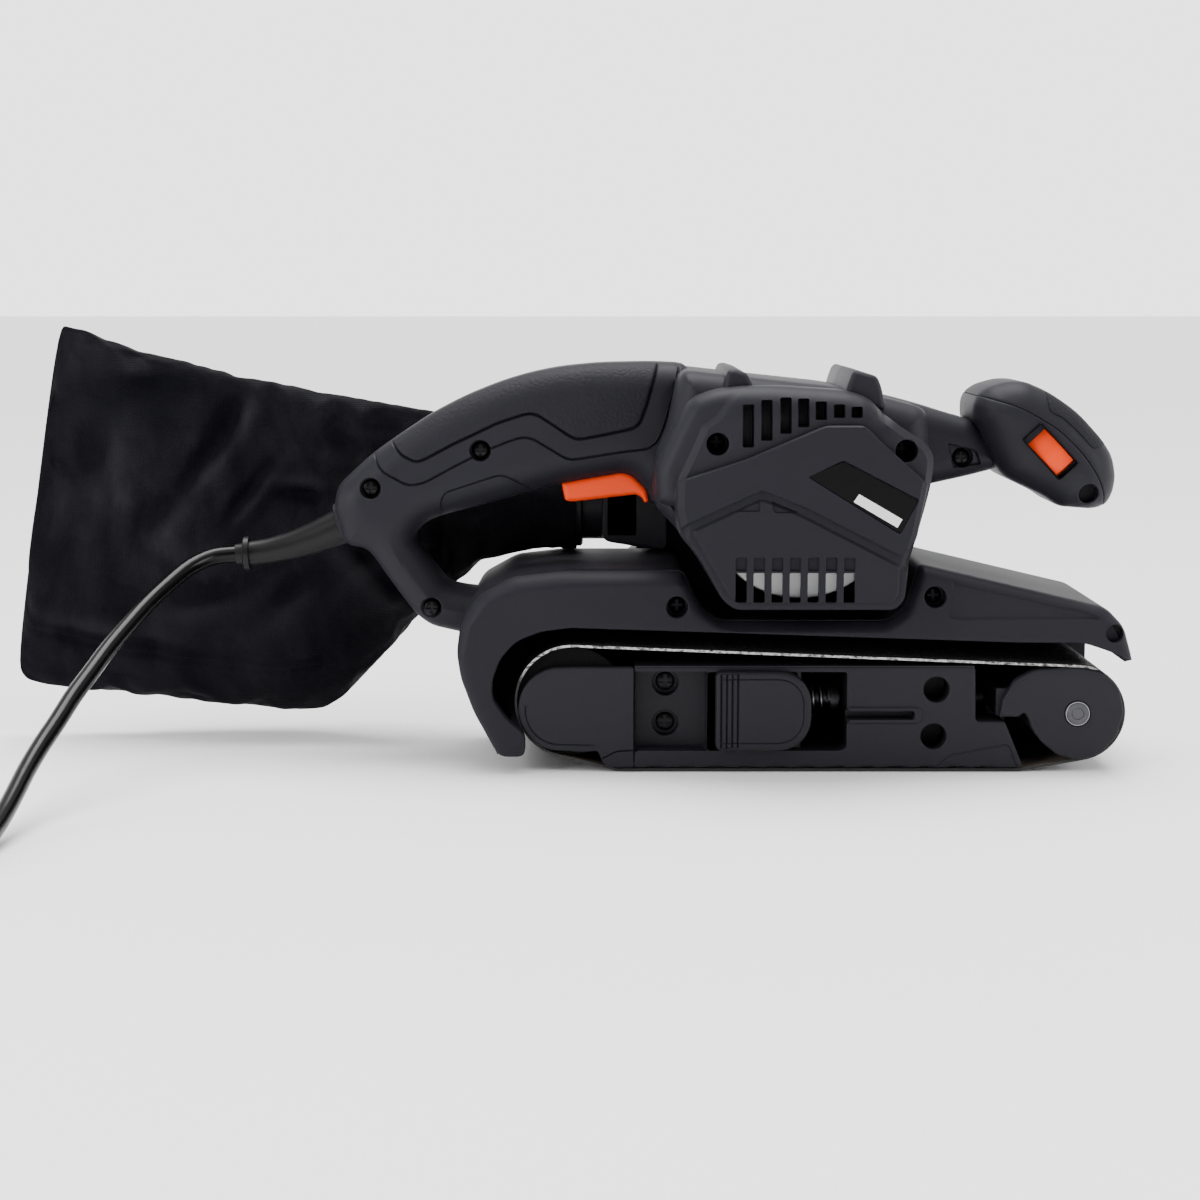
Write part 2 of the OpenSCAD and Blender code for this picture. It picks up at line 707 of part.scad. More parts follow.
module idler_axle() color("#c8c8cc") rod(idler_c, 4.75, -40, 39);

module idler_roller() {
    color("#8a8c90") difference() {
        rod(idler_c, idler_r, -35.4, 35.4);
        rod(idler_c, 7, -36, 36);
        for (s = [-1, 1]) rod(idler_c, 10, s > 0 ? 27.4 : -36, s > 0 ? 36 : -27.4);
    }
}

module idler_bearings() {
    color("#c8c8cc") {
        ring(idler_c, 10, 4.75 + run, -35, -27.4);
        ring(idler_c, 10, 4.75 + run, 27.4, 35);
    }
}

module tracking_knob() {
    color("#232326") union() {
        difference() {
            rod(track_c, 9, case_y + case_t + 0.4, 54);
            for (i = [0:15]) turned(track_c, i * 22.5) box([8.4, 10], [case_y + case_t, 55], [-0.8, 0.8]);
        }
        rod(track_c, 3, case_y - 0.5, case_y + case_t + 0.6);
        rod(track_c + [track_offset, 0], 1.5, 37, case_y);
    }
}

// ---------- dust collection ----------
module dust_duct() {
    color("#2c2c30") difference() {
        union() {
            box([-86, -69], [21, 55], [86, 118.5]);
            box([-86, -58], [21, case_y], [86, 118.5]);
            box([-86, -58], [21, case_y], [81, 86.5]);
        }
        bar(-90, -72, port_y, port_z, port_bore_r);
        box([-80, -61], [24, 37], [80, 112]);
        bar(-87, port_x[1], port_y, port_z, port_r);
    }
}

module dust_port() {
    color("#2c2c30") difference() {
        bar(port_x[0], port_x[1], port_y, port_z, port_r);
        bar(port_x[0] - 1, port_x[1] + 1, port_y, port_z, port_bore_r);
    }
}

module bag_collar() {
    color("#232326") difference() {
        bar(-108.5, -94, port_y, port_z, 18.6);
        bar(-110, -93, port_y, port_z, port_r + 0.15);
    }
}

// Outline of the full bag and the narrower one that its flat sides reach
bag_outline = [
    [-316, 173], [-336, 33], [-333, 25], [-222, 10.6], [-196, 18], [-160, 55], [-160, 138], [-200, 147]
];
bag_flat = [[-300, 152], [-314, 46], [-222, 30], [-202, 35], [-178, 60], [-178, 118], [-205, 128]];
bag_y = 45;
module dust_bag() {
    color("#17171b") difference() {
        union() {
            hull() {
                slab(bag_y - 3, bag_y + 3) polygon(bag_outline);
                slab(bag_y - 22, bag_y + 22) polygon(bag_flat);
            }
            hull() {
                slab(bag_y - 12, bag_y + 14) polygon([[-160, 72], [-160, 132], [-164, 132], [-164, 71.5]]);
                bar(-112, -109, port_y, port_z, 19.7, $fn = 32);
            }
            bar(-110, -97, port_y, port_z, 19.7);
        }
        bar(-112, -90, port_y, port_z, 18.6);
        bar(-126, -111, port_y, port_z, port_bore_r + 1);
    }
}

// ---------- fasteners ----------
module housing_screws() color("#5a5a5e") for (s = housing_screw_list) screw([s[0], s[1]], s[2], s[3], s[4]);
module base_screws() color("#5a5a5e") for (s = base_screw_list) screw([s[0], s[1]], s[2], s[3], s[4]);
module frame_screws() color("#5a5a5e") for (s = frame_screw_list) screw([s[0], s[1]], s[2], s[3], s[4]);
module cover_screws() {
    color("#5a5a5e") for (s = cover_screw_list)
        mirror([0, 1, 0]) screw(s, -case_y - case_t - 8.4, -case_y - 0.5, 3.4);
}

// ---------- power cord ----------
module strain_relief() {
    color("#1a1a1c") translate([-188, 0, 96.2]) rotate([0, -107, 0]) difference() {
        union() {
            cylinder(r1 = 6.6, r2 = 5.1, h = 46);
            translate([0, 0, 43.5]) cylinder(r = 7.2, h = 2.5);
        }
        translate([0, 0, 40]) cylinder(r = cord_d / 2, h = 8);
    }
}

// Tube swept along points, ring by ring
function tube_ring(path, i, r, n) = let (
    p = path[i],
    d = path[min(i + 1, len(path) - 1)] - path[max(i - 1, 0)],
    t = d / norm(d),
    s = cross(t, [0, 0, 1]),
    u = s / norm(s),
    v = cross(u, t)
) [for (k = [0:n - 1]) p + r * (cos(360 * k / n) * u + sin(360 * k / n) * v)];
module tube(path, r, n = 10) {
    last = len(path) - 1;
    points = [for (i = [0:last]) each tube_ring(path, i, r, n)];
    walls = [for (i = [0:last - 1], k = [0:n - 1])
        [i * n + k, i * n + (k + 1) % n, (i + 1) * n + (k + 1) % n, (i + 1) * n + k]];
    first_cap = [for (k = [n - 1:-1:0]) k];
    last_cap = [for (k = [0:n - 1]) last * n + k];
    polyhedron(points, concat([first_cap], walls, [last_cap]), convexity = 4);
}

module power_cord() color("#141416") tube(cord_route, cord_d / 2);

module cord_coil() {
    color("#141416") translate([coil_c[0], coil_c[1], 0]) rotate_extrude()
        translate([coil_r - coil_half, 0]) square([2 * coil_half, 2 * cord_d]);
}

module cord_tie() {
    color("#101012") translate([coil_c[0], coil_c[1] + coil_r, 0]) difference() {
        box([-5, 5], [-coil_half - 1.6, coil_half + 1.6], [0, 2 * cord_d + 1.6]);
        box([-6, 6], [-coil_half - 0.6, coil_half + 0.6], [-1, 2 * cord_d + 0.6]);
    }
}

module power_plug() {
    color("#1a1a1c") translate([plug_c[0], plug_c[1], 0]) {
        box([-13, 13], [-12, 20], [0, 16]);
        rod([0, 8], 4.6, -28, -12);
        for (s = [-1, 1]) box([s * 6.35 - 0.75, s * 6.35 + 0.75], [20, 38], [4.8, 11.2]);
    }
}

housing_left();
housing_right();
rear_grip_left();
rear_grip_right();
motor_cover();
rating_plate();
base_housing();
drive_case();
drive_cover();
base_frame();
drive_roller_cap();
platen_pad();
platen_plate();
sanding_belt();
knob_shell_left();
knob_shell_right();
knob_cap();
knob_grip_pad();
rocker_bezel();
rocker_paddle();
trigger();
trigger_switch();
stator_core();
field_coils();
motor_bracket();
brush_gear();
motor_bearings();
motor_shaft();
armature_core();
armature_windings();
commutator();
cooling_fan();
motor_pulley();
timing_belt();
driven_pulley();
drive_shaft();
drive_drum();
drum_bearings();
tension_rod();
tension_spring();
tension_lever();
lever_pin();
front_yoke();
idler_axle();
idler_roller();
idler_bearings();
tracking_knob();
dust_duct();
dust_port();
bag_collar();
dust_bag();
housing_screws();
base_screws();
frame_screws();
cover_screws();
strain_relief();
power_cord();
cord_coil();
cord_tie();
power_plug();
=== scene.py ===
"""Looks of a handheld belt sander, built round its packed frame.

Lengths in the profile lists are millimetres, as [x, z] points of a side view. Meshes are in metres.
"""
import json
import math
from contextlib import contextmanager

import bmesh
import bpy
import numpy as np
from mathutils import Matrix, Vector, noise
from mathutils.geometry import delaunay_2d_cdt


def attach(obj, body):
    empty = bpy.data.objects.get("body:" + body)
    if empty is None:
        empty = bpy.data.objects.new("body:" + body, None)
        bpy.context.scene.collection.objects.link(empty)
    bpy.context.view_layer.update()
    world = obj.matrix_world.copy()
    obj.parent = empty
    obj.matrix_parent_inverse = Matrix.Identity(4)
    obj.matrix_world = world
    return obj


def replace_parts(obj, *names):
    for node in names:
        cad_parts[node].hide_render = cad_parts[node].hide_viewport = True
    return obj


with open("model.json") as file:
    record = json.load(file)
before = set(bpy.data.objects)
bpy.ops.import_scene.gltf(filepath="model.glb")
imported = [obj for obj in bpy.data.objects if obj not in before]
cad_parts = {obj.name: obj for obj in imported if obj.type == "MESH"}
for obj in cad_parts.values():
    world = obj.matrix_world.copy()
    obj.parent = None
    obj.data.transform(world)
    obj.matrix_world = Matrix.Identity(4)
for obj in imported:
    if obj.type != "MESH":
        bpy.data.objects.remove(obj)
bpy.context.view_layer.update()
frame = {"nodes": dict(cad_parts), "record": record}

bl_info = {
    "name": "Belt sander builder",
    "version": (1, 0, 0),
    "blender": (4, 5, 0),
    "location": "View3D > Sidebar > Sander",
    "description": "Builds the visible pieces of a handheld belt sander round its CAD frame",
    "category": "Object",
}

MM = 0.001
NEAR = -1
FAR = 1
CLOTH_STEPS = 26
MOST_MOVE = 0.009

# Side profiles
HANDLE = [
    (-195.2, 103), (-193.4, 111.7), (-187.5, 117.4), (-178.6, 125.4), (-167.2, 133.2), (-155, 141.2),
    (-141, 148.4), (-127, 154), (-115, 157.6), (-103, 160), (-87, 161.6), (-65, 162), (-50, 161.2),
    (-50, 112), (-62, 104), (-66, 104.2), (-68.3, 110.2), (-73.8, 115.6), (-78, 116.4), (-103, 112.4),
    (-129, 105.3), (-151, 99.6), (-158, 96.7), (-163, 90), (-148.8, 71.8), (-142, 70.2), (-130, 69),
    (-130, 49), (-145.3, 51.8), (-155.9, 54.3), (-162.3, 59.2), (-172, 72.3), (-181.5, 86), (-190.5, 87.2),
]
GRIP = [
    (-171.2, 130.5), (-169.7, 128.9), (-166.3, 125), (-160.6, 122.4), (-157.5, 123.4), (-152.1, 126.2),
    (-146.4, 129.3), (-136.5, 133.9), (-127.3, 138.3), (-117.4, 141.4), (-114.4, 141.9), (-111.3, 141.1),
    (-105.3, 137.3), (-99.2, 133.1), (-96.1, 131.6), (-93.1, 131.8), (-84, 133.5), (-73.3, 135.8), (-71, 137.7),
    (-68.8, 143), (-65.7, 153.6), (-63.9, 161.2), (-63.9, 163), (-87, 162.8), (-103, 161.2), (-115, 158.8),
    (-127, 155.2), (-141, 149.6), (-155, 142.4), (-167, 134.4),
]
GRIP_SEAM = GRIP[:22]
GRIP_BORDER = [
    (-178.4, 125.6), (-175.2, 118.4), (-163.8, 112.4), (-157.6, 113.5), (-146.5, 119.6), (-138.1, 123.8),
    (-131.2, 127.2), (-123.6, 130.2), (-118.2, 132), (-113.7, 131.4), (-108.3, 128.2), (-100.7, 123.6),
    (-97.7, 122.9), (-88.5, 124.3), (-77.9, 126), (-67.2, 127.2), (-63.4, 130.1), (-61.1, 135.4),
    (-58.9, 142.3), (-56.6, 151.4), (-54.8, 161.2),
]
FINGER_PANEL = [(-150.9, 99.8), (-150.9, 106.6), (-148.8, 109.8), (-127.2, 116.8), (-123, 115.6), (-114, 110.6)]
SHOULDER = [
    (-66, 106.8), (-65.1, 125), (-60.1, 136.3), (-55.5, 159.8), (-25, 156.4), (5, 153.2), (27, 148.4),
    (42, 144.4), (44, 112), (38.4, 100), (33, 82), (31.2, 71), (27.4, 67.6), (-34.5, 67.6), (-39.8, 71),
    (-48.6, 86), (-57.2, 98),
]
BULGE_SOFT = [
    (-58.2, 107), (-64.5, 108.7), (-65.5, 121.5), (-57.4, 139.2), (-52.3, 148.9), (-43.9, 152.3), (-33.2, 154),
    (-17.9, 154), (8.8, 152.2), (17, 149.6), (22.6, 143.4),
]
BULGE_SHARP = [
    (22.6, 143.4), (29.4, 138.2), (38.4, 132.6), (41.9, 127.6), (41.6, 121), (40.6, 115), (38.8, 107.4),
    (36.7, 99.8), (34.7, 92.2), (32.1, 87.4),
]
BULGE = BULGE_SOFT + BULGE_SHARP[1:] + [
    (31.2, 71.8), (27.4, 67.9), (-34.5, 67.9), (-39.5, 71.8), (-48.1, 87.4), (-57, 98.2),
]
SCREW_PANEL = [
    (-58, 113), (-56.5, 119), (-51.7, 129.3), (-47, 139.9), (-42, 143), (-30, 160), (60, 160), (60, 60), (-60, 60),
]
COVER = [
    (-57.5, 118), (-31.1, 126.5), (-0.5, 139.5), (14.8, 139.5), (21.5, 132.9), (39.6, 116.8), (38.8, 112),
    (35.9, 97.2), (32.8, 87.2), (31.2, 71.8), (27.4, 67.9), (-34.5, 67.9), (-39.5, 71.8), (-48.1, 87.4),
    (-56, 98.4), (-57.8, 107.5),
]
COVER_BAND = [
    (-57.5, 118), (-31.1, 126.5), (-0.5, 139.5), (14.8, 139.5), (21.5, 132.9), (39.6, 116.8), (38.8, 112),
    (35.6, 95.6), (29, 88.6), (-7.5, 107.2), (-24.4, 114), (-53, 101), (-56, 98.4), (-57.8, 107.5),
]
COVER_REAR_EDGE = [(-55.6, 97.4), (-57.8, 107.5), (-57.5, 119)]
COVER_FRONT_EDGE = [(40, 117.6), (39.6, 116.8), (38.8, 112), (35.9, 97.2), (32.4, 86)]
COVER_LOWER = [
    (-51.5, 98.8), (-24.4, 111.2), (-8.6, 104.6), (29.2, 85.2), (28.6, 73.5), (25.6, 70.6), (-32.6, 70.6),
    (-37.2, 73.8),
]
PLATE = [(6.5, 126.2), (-7.2, 119.6), (28.6, 97.4), (35.8, 111)]
PLATE_STRIP = [(12.6, 113.1), (29.3, 103.4), (27.4, 100.2), (10.5, 110.1)]
TRIANGLES = [[(-35.5, 106.2), (-25.2, 110.6), (-25.2, 106.2)], [(-21, 110.4), (-9.6, 105.6), (-20, 105.8)]]
# Vent slots: x, lowest and highest z above, then the x of each slot below
TOP_SLOTS = [
    (-29.8, 130.7, 147.2), (-22.7, 133.3, 148.9), (-15.4, 135.9, 149.8), (-8.6, 138.4, 149.4),
    (-1.9, 141.2, 148.3), (5.1, 142, 147.2), (11.8, 142, 146.3),
]
LOW_SLOTS = [-32.3 + 6.95 * i for i in range(7)]
MOTOR_OPENING = [
    (-34.5, 70), (27.5, 70), (29, 88), (31, 104), (18, 122), (-8, 127), (-38, 114), (-47, 103), (-40, 86),
]
ARM = [
    (20, 150.4), (35, 146.8), (43, 144.6), (56, 140.6), (62.6, 138.8), (67.5, 134), (78, 120.4), (62, 116.2),
    (43, 112), (26, 112),
]
ARM_ARROW = [(52.2, 130.2), (64.2, 127), (66.4, 121), (54.8, 119.6)]
REAR_RIB = [
    (-40.5, 148), (-38.9, 152.6), (-38, 158), (-37, 159.8), (-34.7, 160.3), (-29.5, 158.6), (-27.4, 154.6),
    (-25.4, 148),
]
FRONT_RIB = [(7.6, 147), (9.1, 153.6), (10.8, 158.4), (12.4, 159.8), (20.9, 157.5), (22.6, 153.4), (24.6, 144)]

HOOD_TOP = [
    (-127.6, 6.8), (-137, 24), (-142.1, 37.8), (-143.6, 47.8), (-142, 60), (-136, 71), (-122, 78.8),
    (-103, 81), (-54, 81), (-47.5, 66.5), (-39.5, 61), (27, 61), (34, 66.2), (39, 83.6), (113.6, 66),
    (120.8, 58.4), (124.6, 45),
]
HOOD_UNDER = [
    (112.6, 49.8), (103.8, 52.6), (79.7, 52.6), (-98.5, 58.5), (-110.4, 56.9), (-120, 53), (-126.2, 46),
    (-129.5, 37), (-129.5, 29.8), (-124, 22), (-116.5, 15.7), (-116.5, 6.8),
]
HOOD_CREASE = [
    (-140.4, 47.8), (-138.7, 57.8), (-130, 69), (-118.2, 73.4), (-102.4, 75), (-86.7, 75.8), (-67, 76.2),
    (-53.3, 75.4), (-51.5, 72.7), (-47.1, 63.9), (-40.4, 58.7), (-33.5, 56.8), (26.8, 56.9), (35.4, 62.7),
    (39.1, 74.6), (40.2, 80.2), (42, 84.5),
]
NOSE_PANEL = [(52, 77.6), (50.4, 62.5), (53.9, 61.7), (112.2, 61.7), (106.2, 64.9), (53.6, 76.4)]
BEAK = [(98, 67.5), (111, 64.4), (117.6, 57.6), (121.6, 47.8), (112.6, 51.6), (104, 54)]

FRAME_FACE = [
    (-73, 42.2), (62.4, 42.2), (62.9, 20.2), (74.6, 20.2), (81.8, 2.8), (81, 1.7), (-73, 1.7),
]
FRAME_RECESS = (-72.9, -44, 8.4, 40.4)
FRAME_WINDOW = [(-44, 8.4), (-44, 40.2), (11.6, 40.2), (11.6, 9.6), (9, 8.4)]
FRAME_SLOT = (10, 38.6, 21, 24.6)
FRAME_FOOT = [(48.5, 2.4), (52.8, 6.4), (75, 10.8), (76.6, 9.8), (79.4, 2.4)]
LEVER = [(-40.9, 8.9)] + [
    (-15.7 + 13 * math.cos(a), (21.9 if a < 0.01 else 28) + 13 * math.sin(a))
    for a in np.radians([-90, -75, -60, -45, -30, -15, 0, 1, 15, 30, 45, 60, 75, 90])
] + [(-40.9, 41)]
YOKE_HOOK = [
    (72.4, 23), (73.5, 29.1), (78, 37.1), (85.8, 41.2), (103.6, 42), (113, 40.4), (119.6, 34), (121.9, 24),
    (119.4, 14.4), (113, 7.4), (104, 4.4), (95.6, 6.8), (89, 12), (85, 17.8), (84, 21.4), (82.1, 23.9),
    (79.4, 21.8),
]

KNOB = [
    (62.6, 138.6), (62.4, 141.5), (62.5, 145.6), (63.9, 149), (68.2, 152.2), (76.3, 154.5), (83.3, 154.4),
    (93.4, 150), (104.6, 142.3), (114.5, 131.5), (119, 124.7), (120.5, 116.1), (119.4, 109.7), (116.7, 104.8),
    (111.2, 103.2), (97.6, 104.2), (92, 108.2), (83.9, 112.1), (74.2, 116.6), (68.4, 126), (65, 135.4),
]
KNOB_SEAM = [
    (56.5, 150.6), (66.8, 148.2), (77.8, 145.1), (84.1, 142.3), (95.3, 135.6), (105, 126.2), (111.5, 116.8),
    (114.6, 108.9), (115.4, 98),
]
KNOB_PAD = [
    (90.6, 151.5), (91.6, 142.9), (96.7, 140.5), (103.2, 134.6), (109.3, 127.9), (116, 129.6), (110, 140),
    (99.5, 149),
]
ROCKER_CENTRE = (91.8, 127.2)
ROCKER_SLOPE = math.radians(46.8)

# Bag: its lower and upper outlines from the free end to the mouth, and the line of its hem
BAG_LOW = [
    (-338.4, 31), (-335.5, 23), (-300, 19.6), (-222, 11), (-206, 12.4), (-196, 18.4), (-167, 50), (-150, 67),
    (-136, 77), (-112, 81.6),
]
BAG_HIGH = [
    (-317.4, 175.6), (-306, 173.4), (-285, 165.5), (-240.7, 154.2), (-200, 146.6), (-178, 142.4),
    (-157.4, 138.6), (-140, 129), (-130, 124.6), (-112, 120.6),
]
HEM = [(-336, 56), (-331.5, 47.5), (-300, 40.5), (-222, 31.5), (-206, 33.6)]

# Screws, [x, z]
HANDLE_SCREWS = [(-179.2, 111.3), (-134.8, 126.6), (-155.1, 62.7)]
ARM_SCREW = (58.6, 124)
MOTOR_SCREWS = [(-41.5, 132), (31, 129.4)]
HOOD_SCREWS = [(-56.3, 66.8), (45.2, 70.8), (116.4, 56.2)]
FRAME_SCREWS = [(-60.5, 34.5), (-60.5, 18)]
FRAME_HOLES = [(47.1, 33.1), (46.2, 14.2)]
COVER_SCREWS = [(-94.1, 68.8), (-36.5, 49.5), (5.5, 121)]

# Sanding belt and rollers, [x, z] centres and radii
DRUM = (-97.8, 28.0)
DRUM_RADIUS = 21.9
IDLER = (103.3, 23.5)
IDLER_RADIUS = 18.3
SOLE_ENDS = (-80, 81)
BELT_HALF = 38
MOTOR = (-9, 108)
DUST_PORT = (38, 101)
TRACKING_AXIS = (80, 30)

# Cord: its route's points, in mm, and the coil and plug at its far end
CORD_ROUTE = [
    (-230.5, 0, 83.2), (-237.5, 0, 82.9), (-245.5, -3, 82.2), (-253.6, -10, 78.8), (-260.8, -21, 72.8),
    (-267, -34, 66.5), (-272, -47, 60), (-277, -61, 53), (-281, -75, 46), (-285, -89, 39),
    (-288, -103, 32), (-291, -117, 25.5), (-293, -131, 19.5), (-294, -145, 14), (-295, -159, 9),
    (-296, -172, 5.5), (-297, -183, 3.9),
]
CORD_LENGTH = 1800
COIL_CENTRE = (-350, -192)
COIL_START = 52.6
INNER_TURNS = 3.0
PLUG_ENTRY = (-411, -181, 8)


class Wire:
    """A node's output socket that ordinary arithmetic works on."""

    def __init__(self, tree, socket=None):
        self.tree = tree
        self.socket = socket

    def node(self, kind, settings=None, inputs=None, output=0):
        """Adds one node with its settings made first, then its sockets' values or links."""
        made = self.tree.nodes.new(kind)
        for name, value in (settings or {}).items():
            if name == "stops":
                ramp = made.color_ramp
                for place, colour in value[2:]:
                    ramp.elements.new(place).color = (*colour, 1)
                for element, (place, colour) in zip((ramp.elements[0], ramp.elements[-1]), value[:2]):
                    element.position = place
                    element.color = (*colour, 1)
            else:
                setattr(made, name, value)
        for key, value in (inputs or {}).items():
            if isinstance(value, Wire):
                self.tree.links.new(value.socket, made.inputs[key])
            else:
                made.inputs[key].default_value = value
        return Wire(self.tree, made.outputs[output])

    def _math(self, operation, a, b=0.0):
        return self.node("ShaderNodeMath", {"operation": operation}, {0: a, 1: b})

    def __add__(self, other):
        return self._math("ADD", self, other)

    def __sub__(self, other):
        return self._math("SUBTRACT", self, other)

    def __rsub__(self, other):
        return self._math("SUBTRACT", other, self)

    def __mul__(self, other):
        return self._math("MULTIPLY", self, other)

    def __gt__(self, other):
        return self._math("GREATER_THAN", self, other)

    __radd__ = __add__
    __rmul__ = __mul__

    def clamp(self):
        return self.node("ShaderNodeClamp", {}, {0: self})

    def ramp(self, low, high):
        """0 at low, 1 at high, and straight between."""
        return self.node("ShaderNodeMapRange", {}, {0: self, 1: low, 2: high})

    def colour(self, first, second):
        """A colour that goes from first to second as this goes from 0 to 1."""
        return self.node("ShaderNodeMix", {"data_type": "RGBA"}, {0: self, 6: (*first, 1), 7: (*second, 1)}, 2)


def grain(place, scale, detail=2.0, roughness=0.5):
    return place.node(
        "ShaderNodeTexNoise", {}, {"Vector": place, "Scale": scale, "Detail": detail, "Roughness": roughness}
    )


def cells(place, scale, feature="F1", output=0):
    return place.node("ShaderNodeTexVoronoi", {"feature": feature}, {"Vector": place, "Scale": scale}, output)


def waves(place, direction, scale, distortion):
    return place.node(
        "ShaderNodeTexWave", {"bands_direction": direction},
        {"Vector": place, "Scale": scale, "Distortion": distortion},
    )


def stretched(place, scale=(1, 1, 1), turn=(0, 0, 0)):
    return place.node("ShaderNodeMapping", {}, {"Vector": place, "Scale": scale, "Rotation": turn})


def bumped(height, strength, deep):
    return height.node("ShaderNodeBump", {}, {"Height": height, "Strength": strength, "Distance": deep})


def finish(name, paint, fixed):
    """A material whose Principled sockets take fixed values, then what paint(place) returns for them."""
    material = bpy.data.materials.new(name)
    material.use_nodes = True
    tree = material.node_tree
    shader = tree.nodes["Principled BSDF"]
    for socket, value in fixed.items():
        shader.inputs[socket].default_value = value
    place = Wire(tree).node("ShaderNodeTexCoord", {}, {}, 3)
    for socket, value in paint(place).items():
        tree.links.new(value.socket, shader.inputs[socket])
    return material


def moulding(colour, rough, fine=0.00006, spark=0.25):
    """Spark-eroded moulded plastic: a fine pebbled skin with faint wear and dust in its tone."""

    def paint(place):
        cloudy = grain(place, 14, 4)
        pebbles = cells(place, 900)
        skin = grain(place, 2600, 2)
        tone = (cloudy * 0.7 + skin * 0.3).ramp(0.25, 0.75)
        return {
            "Base Color": tone.colour([c * 0.86 for c in colour], [c * 1.16 for c in colour]),
            "Roughness": rough + (cloudy - 0.5) * 0.14 + (skin - 0.5) * 0.1,
            "Normal": bumped(pebbles * 0.6 + skin * 0.4, spark, fine),
        }

    return paint


def soft_rubber(colour, rough):
    """Overmoulded rubber: matt and leathery, with small raised dashes in rows."""

    def paint(place):
        leather = cells(place, 420, "DISTANCE_TO_EDGE").ramp(0.0, 0.35)
        skin = grain(place, 1500, 3)
        tone = grain(place, 30, 3)
        return {
            "Base Color": tone.colour([c * 0.8 for c in colour], [c * 1.25 for c in colour]),
            "Roughness": rough + (skin - 0.5) * 0.2,
            "Normal": bumped(leather * 0.7 + skin * 0.3, 0.5, 0.00028),
        }

    return paint


def gloss(colour, rough):
    def paint(place):
        ripple = grain(place, 60, 2)
        dust = grain(place, 900, 2)
        return {
            "Base Color": ripple.colour([c * 0.93 for c in colour], [min(1, c * 1.05) for c in colour]),
            "Roughness": rough + (dust - 0.5) * 0.12,
            "Normal": bumped(ripple, 0.08, 0.0004),
        }

    return paint


def metal(colour, rough, lay=(1, 60, 60), depth=0.2):
    """Drawn or turned metal: fine scratches along the lay, with a little staining."""

    def paint(place):
        scratches = grain(stretched(place, lay), 90, 4)
        stain = grain(place, 45, 3)
        return {
            "Base Color": stain.colour([c * 0.8 for c in colour], colour),
            "Roughness": rough + (scratches - 0.5) * 0.35,
            "Normal": bumped(scratches, depth, 0.0001),
        }

    return paint


def laminations(colour, rough):
    """Stacked thin sheets, seen on their edges."""

    def paint(place):
        sheets = waves(place, "Y", 330, 0.3)
        stain = grain(place, 80, 3)
        return {
            "Base Color": stain.colour([c * 0.7 for c in colour], colour),
            "Roughness": rough + (stain - 0.5) * 0.3,
            "Normal": bumped(sheets, 0.4, 0.0002),
        }

    return paint


def windings(place):
    strands = waves(place, "Z", 260, 1.5)
    return {
        # The lighter bands on the wire crests are a painted highlight and the darker bands between the turns painted
        # shade
        "Base Color": strands.colour((0.16, 0.05, 0.02), (0.55, 0.22, 0.08)),
        "Normal": bumped(strands, 0.8, 0.0004),
    }


def abrasive(place):
    """Sharp black grit in resin, with a few bright facets."""
    grit = cells(place, 1500)
    facets = cells(stretched(place, (1, 1, 1), (0.3, 0.7, 0.2)), 1900, "F1", 1)
    spark = facets.node("ShaderNodeSeparateColor", {}, {0: facets}) > 0.93
    worn = grain(place, 18, 4)
    return {
        # Painted glint: the spark facets are lightened in the base colour
        "Base Color": (spark * 0.5 + worn * 0.3).colour((0.008, 0.008, 0.009), (0.16, 0.16, 0.17)),
        "Roughness": 0.62 - spark * 0.34 + (worn - 0.5) * 0.15,
        "Normal": bumped(grit, 1.0, 0.0004),
    }


def frayed_edge(place):
    """The cut edge of the belt's cloth: pale threads between dark resin."""
    threads = grain(stretched(place, (0.5, 1, 1)), 900, 4, 0.7)
    height = place.node("ShaderNodeSeparateXYZ", {}, {0: place}, 2)
    # Painted light: the threads fade out below the belt's top run, leaving the lower edge in painted shade
    pale = threads.ramp(0.4, 0.55).clamp() * height.ramp(0.036, 0.043).clamp()
    return {
        "Base Color": pale.colour((0.02, 0.02, 0.02), (0.55, 0.54, 0.53)),
        "Normal": bumped(threads, 0.8, 0.0004),
    }


def backing_cloth(place):
    weave = cells(place, 1300)
    return {
        "Base Color": grain(place, 40, 3).colour((0.045, 0.035, 0.03), (0.09, 0.07, 0.055)),
        "Normal": bumped(weave, 0.4, 0.0002),
    }


def bag_cloth(place):
    """Thin woven cloth: a crossed weave under soft creases, slightly blue-black, with lint."""
    warp, weft = waves(place, "X", 420, 0.6), waves(place, "Z", 420, 0.6)
    cloud = grain(place, 22, 4)
    crush = grain(stretched(place, (1.6, 1, 0.8), (0, 0.6, 0)), 55, 5, 0.62)
    lint = grain(place, 1100, 2).ramp(0.66, 0.8)
    # Painted shade and highlight of the creases, read from the bag's point attribute
    fold = place.node("ShaderNodeAttribute", {"attribute_name": "fold"}, {}, 2)
    # Painted sheen: the crumple bump's ridges are lightened in the colour, in patches set by the cloud noise
    painted_ridge_sheen = crush.ramp(0.45, 0.7).clamp() * cloud.ramp(0.4, 0.62).clamp()
    light = cloud * 0.35 + lint * 0.25 + painted_ridge_sheen * 0.5 + fold * 0.55
    return {
        "Base Color": light.clamp().colour((0.0003, 0.0002, 0.0020), (0.0115, 0.0112, 0.0140)),
        "Roughness": 0.78 + (cloud - 0.5) * 0.2,
        "Normal": bumped(warp * weft * 0.25 + crush, 0.55, 0.0016),
    }


def cord_skin(place):
    drag = grain(place, 120, 3)
    return {
        "Base Color": drag.colour((0.0012, 0.0012, 0.0015), (0.0026, 0.0026, 0.003)),
        "Roughness": 0.16 + drag * 0.12,
        "Normal": bumped(drag, 0.12, 0.0006),
    }


